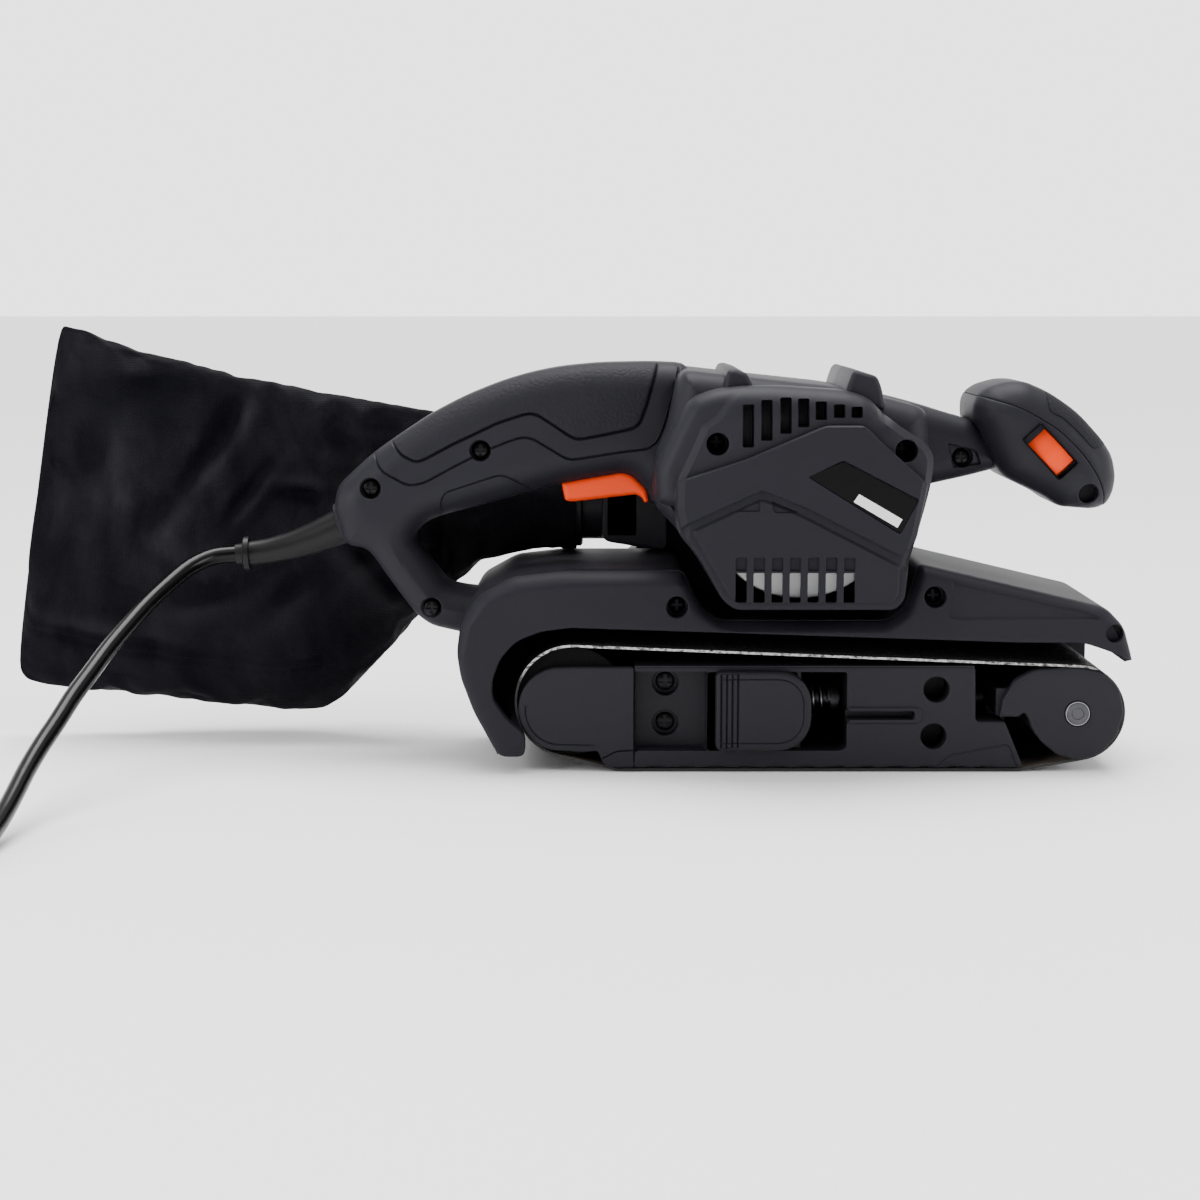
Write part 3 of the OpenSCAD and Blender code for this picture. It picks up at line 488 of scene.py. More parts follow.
def cork(place):
    crumbs = cells(place, 500)
    return {
        "Base Color": crumbs.ramp(0.1, 0.6).colour((0.10, 0.06, 0.03), (0.27, 0.18, 0.10)),
        "Normal": bumped(crumbs, 0.6, 0.0004),
    }


def floor_paper(place):
    fibre = grain(place, 8, 3)
    return {"Base Color": fibre.colour((0.93, 0.93, 0.93), (0.95, 0.95, 0.95))}


def make_finishes():
    """Every finish by its key: its name, its maker, its specular level and its other fixed values."""
    looks = bpy.context.scene.sander_looks
    black, grip, orange = (tuple(c) for c in (looks.housing_colour, looks.grip_colour, looks.switch_colour))

    def shade(colour, share):
        return [c * share for c in colour]

    table = {
        "housing": ("black_moulding", moulding(black, 0.5), 0.14),
        "shell": ("base_moulding", moulding(shade(black, 0.94), 0.54), 0.12),
        "soft_cap": ("soft_cap_rubber", moulding(grip, 0.52, 0.0001, 0.35), 0.16),
        # Near-black screws with little specular: painted shade that makes the deep motor and base screw holes read
        # black
        "recess": ("screw_painted_shade_black", gloss((0.0006, 0.0006, 0.0006), 0.7), 0.05),
        "soft_grip": ("soft_overmould", soft_rubber(grip, 0.6), 0.16),
        "pad_rubber": ("knob_pad_rubber", soft_rubber(shade(grip, 0.8), 0.66), 0.14),
        "orange": ("orange_moulding", gloss(orange, 0.42), 0.2),
        "gloss_black": ("gloss_black", gloss((0.0012, 0.0012, 0.0014), 0.3), 0.1),
        "write_on": ("white_write_on_label", gloss((0.72, 0.72, 0.72), 0.5), 0.2),
        "switch": ("dark_phenolic", moulding((0.012, 0.012, 0.012), 0.5), 0.5),
        "frame_metal": ("painted_casting", moulding(shade(black, 0.85), 0.5, 0.00009), 0.18),
        "pad": ("cork_sheet", cork, 0.5, {"Roughness": 0.85}),
        "abrasive": ("black_abrasive", abrasive, 0.5),
        "belt_edge": ("frayed_belt_edge", frayed_edge, 0.5, {"Roughness": 0.9}),
        "belt_back": ("belt_backing", backing_cloth, 0.5, {"Roughness": 0.8}),
        "steel": ("bright_steel", metal((0.3, 0.3, 0.31), 0.36), 0.5, {"Metallic": 1.0}),
        "stator": ("laminated_steel", laminations((0.6, 0.6, 0.61), 0.45), 0.5, {"Metallic": 0.45}),
        "copper": ("copper_winding", windings, 0.5, {"Metallic": 0.8, "Roughness": 0.4}),
        "bracket": ("cast_bracket", metal((0.78, 0.78, 0.79), 0.42, (3, 3, 3), 0.3), 0.5, {"Metallic": 0.55}),
        "pulley": ("machined_pulley", metal((0.5, 0.5, 0.52), 0.35), 0.5, {"Metallic": 1.0}),
        "timing": ("timing_rubber", moulding((0.014, 0.014, 0.014), 0.7), 0.5),
        # Black rubber made darker still: painted shade for the dark gap round the drum
        "drum": ("drum_rubber_painted_shade", moulding((0.0016, 0.0016, 0.0018), 0.7, 0.0002, 0.5), 0.08),
        "worn_steel": ("worn_steel", metal((0.085, 0.085, 0.09), 0.42, (8, 8, 8), 0.4), 0.5, {"Metallic": 1.0}),
        "idler": ("turned_aluminium", metal((0.22, 0.22, 0.23), 0.45), 0.5, {"Metallic": 1.0}),
        "bag_fabric": ("bag_cloth", bag_cloth, 0.1),
        "duct": ("duct_moulding", moulding(shade(black, 0.75), 0.5), 0.18),
        "cord": ("cord_rubber", cord_skin, 0.17),
        "boot": ("boot_rubber", moulding((0.0045, 0.0045, 0.005), 0.4), 0.2),
        "screws": ("black_zinc", metal((0.011, 0.011, 0.012), 0.3, (1, 1, 1), 0.1), 0.5, {"Metallic": 0.9}),
    }
    return {
        key: finish(name, paint, {"Specular IOR Level": specular, **(other[0] if other else {})})
        for key, (name, paint, specular, *other) in table.items()
    }


# Flat geometry, in mm
def rounded(points, radius, closed=True, steps=4):
    """The same line with its corners rounded to at most this radius."""
    pts = [np.array(p, float) for p in points]
    count = len(pts)
    line = []
    for i in range(count):
        here = pts[i]
        if not closed and i in (0, count - 1):
            line.append(here)
            continue
        before, after = pts[i - 1], pts[(i + 1) % count]
        back, on = before - here, after - here
        lb, lo = np.linalg.norm(back), np.linalg.norm(on)
        reach = min(radius, 0.42 * lb, 0.42 * lo)
        start, end = here + back / lb * reach, here + on / lo * reach
        for k in range(steps + 1):
            t = k / steps
            line.append((1 - t) ** 2 * start + 2 * t * (1 - t) * here + t * t * end)
    return np.array(line)


def box(x0, x1, z0, z1):
    return [(x0, z0), (x1, z0), (x1, z1), (x0, z1)]


def circle(centre, radius, count=32):
    turn = np.arange(count) * 2 * math.pi / count
    return np.stack([centre[0] + radius * np.cos(turn), centre[1] + radius * np.sin(turn)], 1)


def arc(centre, radius, turns, tall=None):
    """Points round a centre at the given angles, on an ellipse where a second radius is given."""
    tall = radius if tall is None else tall
    return [(centre[0] + radius * math.cos(a), centre[1] + tall * math.sin(a)) for a in turns]


def spaced(line, step, closed=True):
    """The line cut so that no piece is longer than step, its own corners kept."""
    line = np.asarray(line, float)
    ends = np.roll(line, -1, 0) if closed else line[1:]
    starts = line if closed else line[:-1]
    out = []
    for a, b in zip(starts, ends):
        parts = max(1, math.ceil(np.linalg.norm(b - a) / step))
        out.extend(a + (b - a) * k / parts for k in range(parts))
    if not closed:
        out.append(line[-1])
    return np.array(out)


def distance(points, line, closed=True):
    line = np.asarray(line, float)
    a = line if closed else line[:-1]
    b = np.roll(line, -1, 0) if closed else line[1:]
    keep = np.linalg.norm(b - a, axis=1) > 1e-9
    a, b = a[keep], b[keep]
    along = b - a
    size = (along**2).sum(1)
    best = np.empty(len(points))
    for start in range(0, len(points), 3000):
        p = points[start : start + 3000, None, :]
        t = np.clip(((p - a) * along).sum(2) / size, 0, 1)
        gap = p - (a + t[:, :, None] * along)
        best[start : start + 3000] = np.sqrt((gap**2).sum(2).min(1))
    return best


def inside(points, line):
    line = np.asarray(line, float)
    a, b = line, np.roll(line, -1, 0)
    rise = b[:, 1] - a[:, 1]
    rise = np.where(np.abs(rise) < 1e-12, 1e-12, rise)
    found = np.zeros(len(points), bool)
    for start in range(0, len(points), 3000):
        x, z = points[start : start + 3000, 0, None], points[start : start + 3000, 1, None]
        crosses = (a[:, 1] > z) != (b[:, 1] > z)
        at = a[:, 0] + (z - a[:, 1]) / rise * (b[:, 0] - a[:, 0])
        found[start : start + 3000] = (crosses & (x < at)).sum(1) % 2 == 1
    return found


def depth_in(points, line):
    """Distance from a closed line, positive inside it."""
    return np.where(inside(points, line), 1, -1) * distance(points, line)


def offset(line, gap, closed=True):
    """The line moved sideways: inwards for a closed line."""
    line = np.asarray(line, float)
    nxt = np.roll(line, -1, 0)
    prv = np.roll(line, 1, 0)
    if not closed:
        nxt[-1] = line[-1]
        prv[0] = line[0]
    d = nxt - prv
    d /= np.maximum(np.linalg.norm(d, axis=1, keepdims=True), 1e-9)
    normal = np.stack([-d[:, 1], d[:, 0]], 1)
    if closed:
        x, z = line[:, 0], line[:, 1]
        if (x * np.roll(z, -1) - np.roll(x, -1) * z).sum() < 0:
            normal = -normal
    return line + normal * gap


def dropped(d, width, depth):
    """How far a rounded rim has fallen at distance d inside its edge."""
    t = np.clip(1 - d / width, 0, 1)
    return depth * (1 - np.sqrt(np.maximum(1 - t * t, 0)))


ROUND_STEPS = [1 - math.cos(math.radians(a)) for a in (0, 14, 26, 38, 50, 62, 74, 90)]


class Face:
    """The height of a moulded side face above the middle plane, with the lines that its mesh follows."""

    def __init__(self, level):
        self.level = level
        self.steps = []
        self.guides = []

    def _guide(self, line, gaps, closed=True, step=1.6):
        cut = spaced(line, step, closed)
        for gap in gaps:
            moved = offset(cut, gap, closed)
            true = depth_in(moved, line) if closed else distance(moved, line, False)
            wanted = gap if closed else abs(gap)
            self.guides.append((moved, np.abs(true - wanted) < 0.04 + 0.1 * abs(gap), closed))

    def rim(self, line, width, depth, closed=True, flat=False):
        """The edge along a line is rounded over, or cut off flat."""
        line = np.asarray(line, float)
        shares = (0.5, 1.0) if flat else ROUND_STEPS[1:]
        self._guide(line, [width * s for s in shares], closed)
        if not closed:
            self._guide(line, [-width * s for s in shares], closed)

        def step(p, h):
            d = distance(p, line, closed)
            return h - (depth * np.clip(1 - d / width, 0, 1) if flat else dropped(d, width, depth))

        self.steps.append(step)
        return self

    def lean(self, region, crease, rate, most):
        """Beyond a crease, inside a region, the face leans back."""
        region, crease = np.asarray(region, float), np.asarray(crease, float)
        self._guide(crease, [0.02, 1.2, -1.2], False)
        self.steps.append(
            lambda p, h: h - np.where(inside(p, region), np.minimum(rate * distance(p, crease, False), most), 0)
        )
        return self

    def plateau(self, line, level, width, depth, chamfer=False):
        """A raised part with its own level and edge."""
        line = np.asarray(line, float)
        shares = (0.02, 0.5, 1.0) if chamfer else ROUND_STEPS[1:]
        self._guide(line, [-0.08, 0.03] + [width * s for s in shares])

        def step(p, h):
            d = depth_in(p, line)
            fall = depth * np.clip(1 - d / width, 0, 1) if chamfer else dropped(d, width, depth)
            return np.where(d > 0, np.maximum(h, level - fall), h)

        self.steps.append(step)
        return self

    def raised(self, line, rise, width):
        """A part that stands a little above whatever surface it is on."""
        line = np.asarray(line, float)
        self._guide(line, [-0.06, 0.03, width * 0.3, width * 0.65, width])
        self.steps.append(
            lambda p, h: h + np.where((d := depth_in(p, line)) > 0, rise - dropped(d, width, rise), 0)
        )
        return self

    def swell(self, line, rise, width, top, span):
        """A part that stands proud behind a flat bevel and dies away towards its top."""
        line = np.asarray(line, float)
        self._guide(line, [-0.06, 0.03, width * 0.5, width])
        self.steps.append(
            lambda p, h: h
            + rise * np.clip(depth_in(p, line) / width, 0, 1) * np.clip((top - p[:, 1]) / span, 0, 1)
        )
        return self

    def sink(self, line, depth, slope=0.3):
        line = np.asarray(line, float)
        self._guide(line, [-0.05, 0.0, slope * 0.5, slope])

        def step(p, h):
            t = np.clip(depth_in(p, line) / slope, 0, 1)
            return h - depth * t * t * (3 - 2 * t)

        self.steps.append(step)
        return self

    def groove(self, line, width, depth, closed=False):
        line = np.asarray(line, float)
        half = width / 2
        self._guide(line, [-half, -half * 0.5, 0.01, half * 0.5, half], closed, 1.6)
        self.steps.append(
            lambda p, h: h
            - depth * (0.5 + 0.5 * np.cos(math.pi * np.clip(distance(p, line, closed) / half, 0, 1)))
        )
        return self

    def hole(self, centre, radius, floor):
        """A blind round hole with a small chamfer, down to a set height."""
        for r in (radius + 0.6, radius + 0.3, radius, radius - 0.06, radius * 0.5):
            self.guides.append((circle(centre, r, 36), np.full(36, True), True))

        def step(p, h):
            r = np.hypot(p[:, 0] - centre[0], p[:, 1] - centre[1])
            h = h - np.where(r < radius + 0.3, 0.25 * np.clip((radius + 0.3 - r) / 0.3, 0, 1), 0)
            return np.where(r < radius - 0.03, np.minimum(h, floor), h)

        self.steps.append(step)
        return self

    def height(self, p):
        h = np.full(len(p), float(self.level))
        for step in self.steps:
            h = step(p, h)
        return h


def triangulated(points, edges, loops):
    """Triangles that keep the given edges, inside the first loop and outside the others."""
    got = delaunay_2d_cdt([Vector(p) for p in points], edges, [], 0, 1e-3)
    flat = np.array([tuple(v) for v in got[0]])
    tris = np.array([f for f in got[2] if len(f) == 3])
    middle = flat[tris].mean(1)
    keep = inside(middle, loops[0])
    for loop in loops[1:]:
        keep &= ~inside(middle, loop)
    return flat, tris[keep], got[3]


def closest(points, spots):
    best = np.full(len(points), 1e9)
    for start in range(0, len(points), 1000):
        gap = points[start : start + 1000, None, :] - spots[None]
        best[start : start + 1000] = np.sqrt((gap**2).sum(2).min(1))
    return best


def link(name, mesh):
    made = bpy.data.objects.new(name, mesh)
    bpy.context.collection.objects.link(made)
    return made


@contextmanager
def edited(mesh, outwards=False):
    """A bmesh of the mesh, written back at the end with its normals turned outwards if that is asked."""
    build = bmesh.new()
    build.from_mesh(mesh)
    yield build
    if outwards:
        bmesh.ops.recalc_face_normals(build, faces=build.faces)
    build.to_mesh(mesh)
    build.free()


def only(piece):
    if bpy.context.object and bpy.context.object.mode != "OBJECT":
        bpy.ops.object.mode_set(mode="OBJECT")
    bpy.ops.object.select_all(action="DESELECT")
    piece.select_set(True)
    bpy.context.view_layer.objects.active = piece


def smooth(piece, angle=32):
    only(piece)
    bpy.ops.object.shade_smooth_by_angle(angle=math.radians(angle))


def moulded(name, face, outline, back, side=NEAR, pitch=4.0, cuts=(), step=2.2):
    """A closed solid whose one side is a moulded face and whose other is flat at y = back."""
    loops = [spaced(outline, step)] + [spaced(c, step) for c in cuts]
    points, edges, at = list(loops), [], 0
    for loop in loops:
        edges += [(at + i, at + (i + 1) % len(loop)) for i in range(len(loop))]
        at += len(loop)

    def well_inside(spots, gap):
        keep = depth_in(spots, loops[0]) > gap
        for loop in loops[1:]:
            keep &= depth_in(spots, loop) < -gap
        return keep

    for line, good, closed in face.guides:
        good = good & well_inside(line, 0.12)
        turn = len(line) if closed else len(line) - 1
        edges += [
            (at + i, at + (i + 1) % len(line))
            for i in range(turn)
            if good[i] and good[(i + 1) % len(line)]
        ]
        points.append(line)
        at += len(line)
    fixed = np.concatenate(points)
    used = np.zeros(len(fixed), bool)
    used[: sum(len(loop) for loop in loops)] = True
    used[[i for edge in edges for i in edge]] = True
    order = np.cumsum(used) - 1
    fixed, edges = fixed[used], [(int(order[i]), int(order[j])) for i, j in edges]
    lo, hi = loops[0].min(0), loops[0].max(0)
    rows = []
    for row, z in enumerate(np.arange(lo[1], hi[1], pitch * 0.87)):
        xs = np.arange(lo[0] + (row % 2) * pitch / 2, hi[0], pitch)
        rows.append(np.stack([xs, np.full(len(xs), z)], 1))
    fill = np.concatenate(rows)
    fill = fill[well_inside(fill, 0.8)]
    if len(fill):
        fill = fill[closest(fill, fixed) > 0.8]
    flat, tris, _ = triangulated(np.concatenate([fixed, fill]), edges, loops)
    sides = np.sort(np.concatenate([tris[:, [0, 1]], tris[:, [1, 2]], tris[:, [2, 0]]]), axis=1)
    sides, times = np.unique(sides, axis=0, return_counts=True)
    border = sides[times == 1]
    corners, place = np.unique(border, return_inverse=True)
    place = place.reshape(-1, 2)
    _, back_tris, sources = triangulated(flat[corners], [tuple(map(int, e)) for e in place], loops)
    height = face.height(flat)
    mesh = bpy.data.meshes.new(name)
    with edited(mesh, outwards=True) as build:
        front = [build.verts.new((x * MM, side * h * MM, z * MM)) for (x, z), h in zip(flat, height)]
        rear = {int(i): build.verts.new((flat[i][0] * MM, back * MM, flat[i][1] * MM)) for i in corners}
        for t in tris:
            build.faces.new([front[i] for i in t])
        for t in back_tris:
            if all(sources[i] for i in t):
                build.faces.new([rear[int(corners[sources[i][0]])] for i in t])
        for i, j in border:
            build.faces.new([front[i], front[j], rear[int(j)], rear[int(i)]])
        loose = [v for v in build.verts if not v.link_faces]
        bmesh.ops.delete(build, geom=loose, context="VERTS")
    piece = link(name, mesh)
    smooth(piece)
    return piece


def settle(piece, name, angle=32):
    """The piece's place goes into its mesh, its shading is smoothed, and it gets its name."""
    only(piece)
    bpy.ops.object.transform_apply(location=True, rotation=True, scale=True)
    piece.name = piece.data.name = name
    smooth(piece, angle)
    return piece


def modified(piece, kind, **settings):
    only(piece)
    modifier = piece.modifiers.new(kind, kind)
    for key, value in settings.items():
        setattr(modifier, key, value)
    bpy.ops.object.modifier_apply(modifier=modifier.name)
    return piece


def prism(name, profile, low, high, bevel=0.0, segments=3):
    """A side profile pulled out along Y, with its long edges bevelled."""
    bpy.ops.object.select_all(action="DESELECT")
    bpy.ops.mesh.primitive_circle_add(vertices=len(profile), radius=1, fill_type="NGON")
    piece = bpy.context.object
    for vertex, (x, z) in zip(piece.data.vertices, profile):
        vertex.co = (x * MM, low * MM, z * MM)
    bpy.ops.object.mode_set(mode="EDIT")
    bpy.ops.mesh.select_all(action="SELECT")
    bpy.ops.mesh.extrude_region_move(TRANSFORM_OT_translate={"value": (0, (high - low) * MM, 0)})
    bpy.ops.mesh.select_all(action="SELECT")
    bpy.ops.mesh.normals_make_consistent(inside=False)
    bpy.ops.object.mode_set(mode="OBJECT")
    if bevel:
        modified(
            piece, "BEVEL", width=bevel * MM, segments=segments, limit_method="ANGLE",
            angle_limit=math.radians(32),
        )
        settle(piece, name)
        return modified(piece, "WEIGHTED_NORMAL", keep_sharp=True)
    return settle(piece, name)


def turned(name, rings, start, direction, sides=48):
    """A turned piece: rings of (distance along the axis, radius), in mm, extruded one after another."""
    axis = Vector(direction).normalized()
    spot = Vector(start) * MM
    bpy.ops.object.select_all(action="DESELECT")
    first, radius = rings[0]
    bpy.ops.mesh.primitive_circle_add(
        vertices=sides, radius=radius * MM, fill_type="NGON", location=spot + axis * first * MM,
        rotation=axis.to_track_quat("Z", "Y").to_euler(),
    )
    piece = bpy.context.object
    bpy.ops.object.transform_apply(location=True, rotation=True, scale=True)
    bpy.ops.object.mode_set(mode="EDIT")
    bpy.ops.mesh.select_all(action="SELECT")
    for along, wide in rings[1:]:
        bpy.ops.mesh.extrude_region_move(
            TRANSFORM_OT_translate={"value": tuple(axis * (along - first) * MM)}
        )
        share = wide / radius
        if abs(share - 1) > 1e-6:
            bpy.ops.transform.resize(
                value=(share, share, share), center_override=tuple(spot + axis * along * MM)
            )
        first, radius = along, wide
    bpy.ops.mesh.select_all(action="SELECT")
    bpy.ops.mesh.normals_make_consistent(inside=False)
    bpy.ops.object.mode_set(mode="OBJECT")
    return settle(piece, name)


def joined(name, pieces):
    """Several pieces as one."""
    only(pieces[0])
    for piece in pieces[1:]:
        piece.select_set(True)
    bpy.ops.object.join()
    pieces[0].name = pieces[0].data.name = name
    return pieces[0]


def lofted(name, rings):
    """A closed skin over rings of as many points each, in metres."""
    mesh = bpy.data.meshes.new(name)
    with edited(mesh, outwards=True) as build:
        rows = [[build.verts.new(p) for p in ring] for ring in rings]
        for a, b in zip(rows, rows[1:]):
            for k in range(len(a)):
                n = (k + 1) % len(a)
                build.faces.new((a[k], a[n], b[n], b[k]))
        build.faces.new(rows[0])
        build.faces.new(rows[-1])
    return link(name, mesh)


def tube(name, path, radii, sides=24):
    """A closed tube along points in mm, with a radius for each point."""
    path = [Vector(p) * MM for p in path]
    rings = []
    for i, p in enumerate(path):
        along = (path[min(i + 1, len(path) - 1)] - path[max(i - 1, 0)]).normalized()
        side = along.cross(Vector((0, 1, 0))).normalized()
        top = side.cross(along)
        turn = [2 * math.pi * k / sides for k in range(sides)]
        rings.append([p + radii[i] * MM * (math.cos(a) * side + math.sin(a) * top) for a in turn])
    piece = lofted(name, rings)
    smooth(piece)
    return piece


FINISHES = {}


def dressed(piece, look, body="sander", stands_for=()):
    """The piece gets its finish and its body, and stands for its CAD nodes."""
    piece.data.materials.clear()
    piece.data.materials.append(FINISHES[look])
    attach(piece, body)
    if stands_for:
        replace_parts(piece, *stands_for)
    return piece


# The object's pieces
SIDES = ((NEAR, "left"), (FAR, "right"))


def build_rear_handle():
    outline = rounded(HANDLE, 6)
    for side, word in SIDES:
        face = Face(17).rim(outline, 13, 12)
        face.groove(rounded(GRIP_BORDER, 4, False), 1.2, 1.0)
        face.groove(rounded(GRIP_SEAM, 2.5, False), 2.2, 1.4)
        face.groove(rounded(FINGER_PANEL, 3, False), 0.9, 0.6)
        for spot in HANDLE_SCREWS:
            face.hole(spot, 4.3, 12.0)
        shell = moulded(f"rear_handle_{word}", face, outline, 0.0, side, 3.0)
        dressed(shell, "housing")
        pad_line = rounded(GRIP, 2.5)
        plain = Face(17).rim(outline, 13, 12).raised(pad_line, 0.9, 1.2)
        pad = moulded(f"rear_grip_pad_{word}", plain, clipped(pad_line, outline), side * 3.0, side, 3.0)
        dressed(pad, "soft_grip", stands_for=(f"rear_grip_{word}",))


def clipped(line, outline):
    """The line with the points that lie outside the outline brought just inside it."""
    pts = np.array(line, float)
    out = ~inside(pts, outline)
    dense = spaced(offset(outline, 0.3), 0.6)
    for i in np.nonzero(out)[0]:
        pts[i] = dense[np.argmin(((dense - pts[i]) ** 2).sum(1))]
    keep = [0]
    for i in range(1, len(pts)):
        if np.linalg.norm(pts[i] - pts[keep[-1]]) > 0.25:
            keep.append(i)
    return pts[keep]


def slot_line(x, low, high, width=4.4):
    return rounded(box(x - width / 2, x + width / 2, low, high), 0.6, steps=2)


def build_motor_housing():
    outline, opening = rounded(SHOULDER, 5), [rounded(MOTOR_OPENING, 4)]
    face = Face(45).rim(outline, 11, 11)
    left = moulded("motor_housing_left", face, outline, 0.0, NEAR, 4.0, opening)
    dressed(left, "housing", stands_for=("housing_left",))
    face = Face(57.8).rim(rounded(BULGE_SOFT, 4, False), 7, 8.5, closed=False)
    face.rim(rounded(BULGE_SHARP, 4, False), 2.9, 3.4, closed=False, flat=True)
    face.swell(rounded(SCREW_PANEL, 2, True), 2.2, 2.6, 152, 9)
    for x, low, high in TOP_SLOTS:
        face.sink(slot_line(x, low, high), 9, 0.3)
    for spot in MOTOR_SCREWS:
        face.hole(spot, 4.4, 44.4)
    dressed(moulded("motor_bulge", face, rounded(BULGE, 4), -36, NEAR, 4.0, opening), "housing")
    far = Face(40).rim(outline, 14, 18)
    right = moulded("motor_housing_right", far, outline, 0.0, FAR, 4.0)
    dressed(right, "housing", stands_for=("housing_right",))
    for side, word in SIDES:
        arm = rounded(ARM, 4)
        face = Face(20).rim(arm, 9, 9)
        face.sink(rounded(ARM_ARROW, 1.2), 1.6, 0.8)
        face.hole(ARM_SCREW, 4.2, 14.2)
        dressed(moulded(f"front_arm_{word}", face, arm, 0.0, side, 3.0), "housing")
        for name, line in (("rear_rib", REAR_RIB), ("front_rib", FRONT_RIB)):
            shape = rounded(line, 2.5)
            face = Face(47.5 if side == NEAR else 39).rim(shape, 2.2, 2.6)
            dressed(moulded(f"{name}_{word}", face, shape, side * 0.25, side, 3.0), "housing")


def build_motor_cover():
    line = rounded(offset(rounded(COVER, 2.5), 0.25), 0.4)
    face = Face(61.6).rim(line, 0.8, 0.8)
    face.plateau(rounded(COVER_BAND, 1), 63.6, 0.8, 1.2, chamfer=True)
    face.plateau(rounded(COVER_LOWER, 2), 62.8, 0.9, 0.9, chamfer=True)
    face.rim(np.array(COVER_REAR_EDGE), 3.6, 2.8, closed=False, flat=True)
    face.rim(np.array(COVER_FRONT_EDGE), 3.0, 2.8, closed=False, flat=True)
    face.sink(rounded(PLATE, 1.2), 1.2, 0.5)
    for triangle in TRIANGLES:
        face.sink(rounded(triangle, 0.8), 0.9, 0.5)
    cuts = []
    for x in LOW_SLOTS:
        face.sink(slot_line(x, 83.2, 88.6), 1.4, 0.3)
        cuts.append(slot_line(x, 71, 82.6))
    cover = moulded("motor_cover_shell", face, line, -59.7, NEAR, 3.0, cuts)
    dressed(cover, "shell", stands_for=("motor_cover",))
    plate = prism("blank_rating_plate", rounded(offset(np.array(PLATE, float), 0.9), 0.8), -63.4, -62.5)
    dressed(plate, "gloss_black", stands_for=("rating_plate",))
    strip = prism("plate_write_on_strip", PLATE_STRIP, -63.5, -63.3)
    dressed(strip, "write_on")


def build_stator_face():
    """The laminated ring and cast bracket that show through the low vents."""
    turns = np.radians(np.arange(196, 345, 4))
    ring = np.array(arc(MOTOR, 36.5, turns) + arc(MOTOR, 24, turns[::-1]))
    face = Face(54).rim(ring, 0.8, 0.8)
    dressed(moulded("stator_front", face, ring, -47, NEAR, 2.6), "stator", stands_for=("motor_bracket",))


def build_hood():
    profile = rounded(HOOD_TOP + HOOD_UNDER, 3)
    top = rounded(HOOD_TOP, 3, False)
    face = Face(44).rim(top, 4.6, 5.5, closed=False)
    face.rim(profile, 0.7, 0.7)
    crease = rounded(HOOD_CREASE, 2.5, False)
    face.lean(np.concatenate([crease, [(60, 120), (-170, 120), (-170, 47.8)]]), crease, 0.5, 4)
    face.sink(rounded(NOSE_PANEL, 2.5), 0.9, 0.9)
    for spot in HOOD_SCREWS:
        face.hole(spot, 4.3 if spot[0] < 100 else 3.6, 36)
    wall = moulded("base_side_wall", face, profile, -36.8, NEAR, 4.0)
    under = offset(top, -3.0, False)
    if np.mean(under[:, 1]) > np.mean(top[:, 1]):
        under = offset(top, 3.0, False)
    roof = prism("base_roof", np.concatenate([top, under[::-1]]), -38.4, 40)
    beak = prism("base_nose", rounded(BEAK, 2), -40, 40, 0.6)
    for piece in (wall, roof, beak):
        dressed(piece, "shell")
    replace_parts(wall, "base_housing")


def belt_line(out):
    """The belt's line, at a distance outside its inner face."""
    def heading(a, b):
        return math.atan2(b[1] - a[1], b[0] - a[0])

    r1, r2 = DRUM_RADIUS + out, IDLER_RADIUS + out
    rear, front = (SOLE_ENDS[0], 1 - out), (SOLE_ENDS[1], 1 - out)
    up = heading(DRUM, IDLER) + math.acos((r1 - r2) / math.dist(DRUM, IDLER))
    leave = heading(DRUM, rear) - math.acos(r1 / math.dist(DRUM, rear))
    meet = heading(IDLER, front) + math.acos(r2 / math.dist(IDLER, front))
    line = arc(DRUM, r1, np.linspace(up, leave + 2 * math.pi, 48))
    return line + [rear, front] + arc(IDLER, r2, np.linspace(meet, up, 40))


def build_sanding_belt():
    outer, inner = belt_line(1.0), belt_line(0.05)
    bpy.ops.object.select_all(action="DESELECT")
    bpy.ops.mesh.primitive_circle_add(vertices=len(outer), radius=1)
    piece = bpy.context.object
    for vertex, (x, z) in zip(piece.data.vertices, outer):
        vertex.co = (x * MM, -BELT_HALF * MM, z * MM)
    bpy.ops.object.mode_set(mode="EDIT")
    bpy.ops.mesh.select_all(action="SELECT")
    bpy.ops.mesh.extrude_region_move(TRANSFORM_OT_translate={"value": (0, 2 * BELT_HALF * MM, 0)})
    bpy.ops.object.mode_set(mode="OBJECT")
    with edited(piece.data, outwards=True) as build:
        build.verts.ensure_lookup_table()
        count = len(outer)
        near, far = build.verts[:count], build.verts[count : 2 * count]
        near_in, far_in = (
            [build.verts.new((x * MM, y * MM, z * MM)) for x, z in inner] for y in (-BELT_HALF, BELT_HALF)
        )
        for k in range(count):
            n = (k + 1) % count
            for a, b in ((near_in, far_in), (near, near_in), (far, far_in)):
                build.faces.new((a[k], a[n], b[n], b[k]))
    settle(piece, "abrasive_belt")
    dressed(piece, "abrasive", stands_for=("sanding_belt",))
    for look in ("belt_edge", "belt_back"):
        piece.data.materials.append(FINISHES[look])
    middle = Vector((0, 0, 0.025))
    for polygon in piece.data.polygons:
        out = (polygon.center - middle) * Vector((0.2, 0, 1))
        if abs(polygon.normal.y) > 0.9:
            polygon.material_index = 1
        elif polygon.normal.dot(out) < 0:
            polygon.material_index = 2


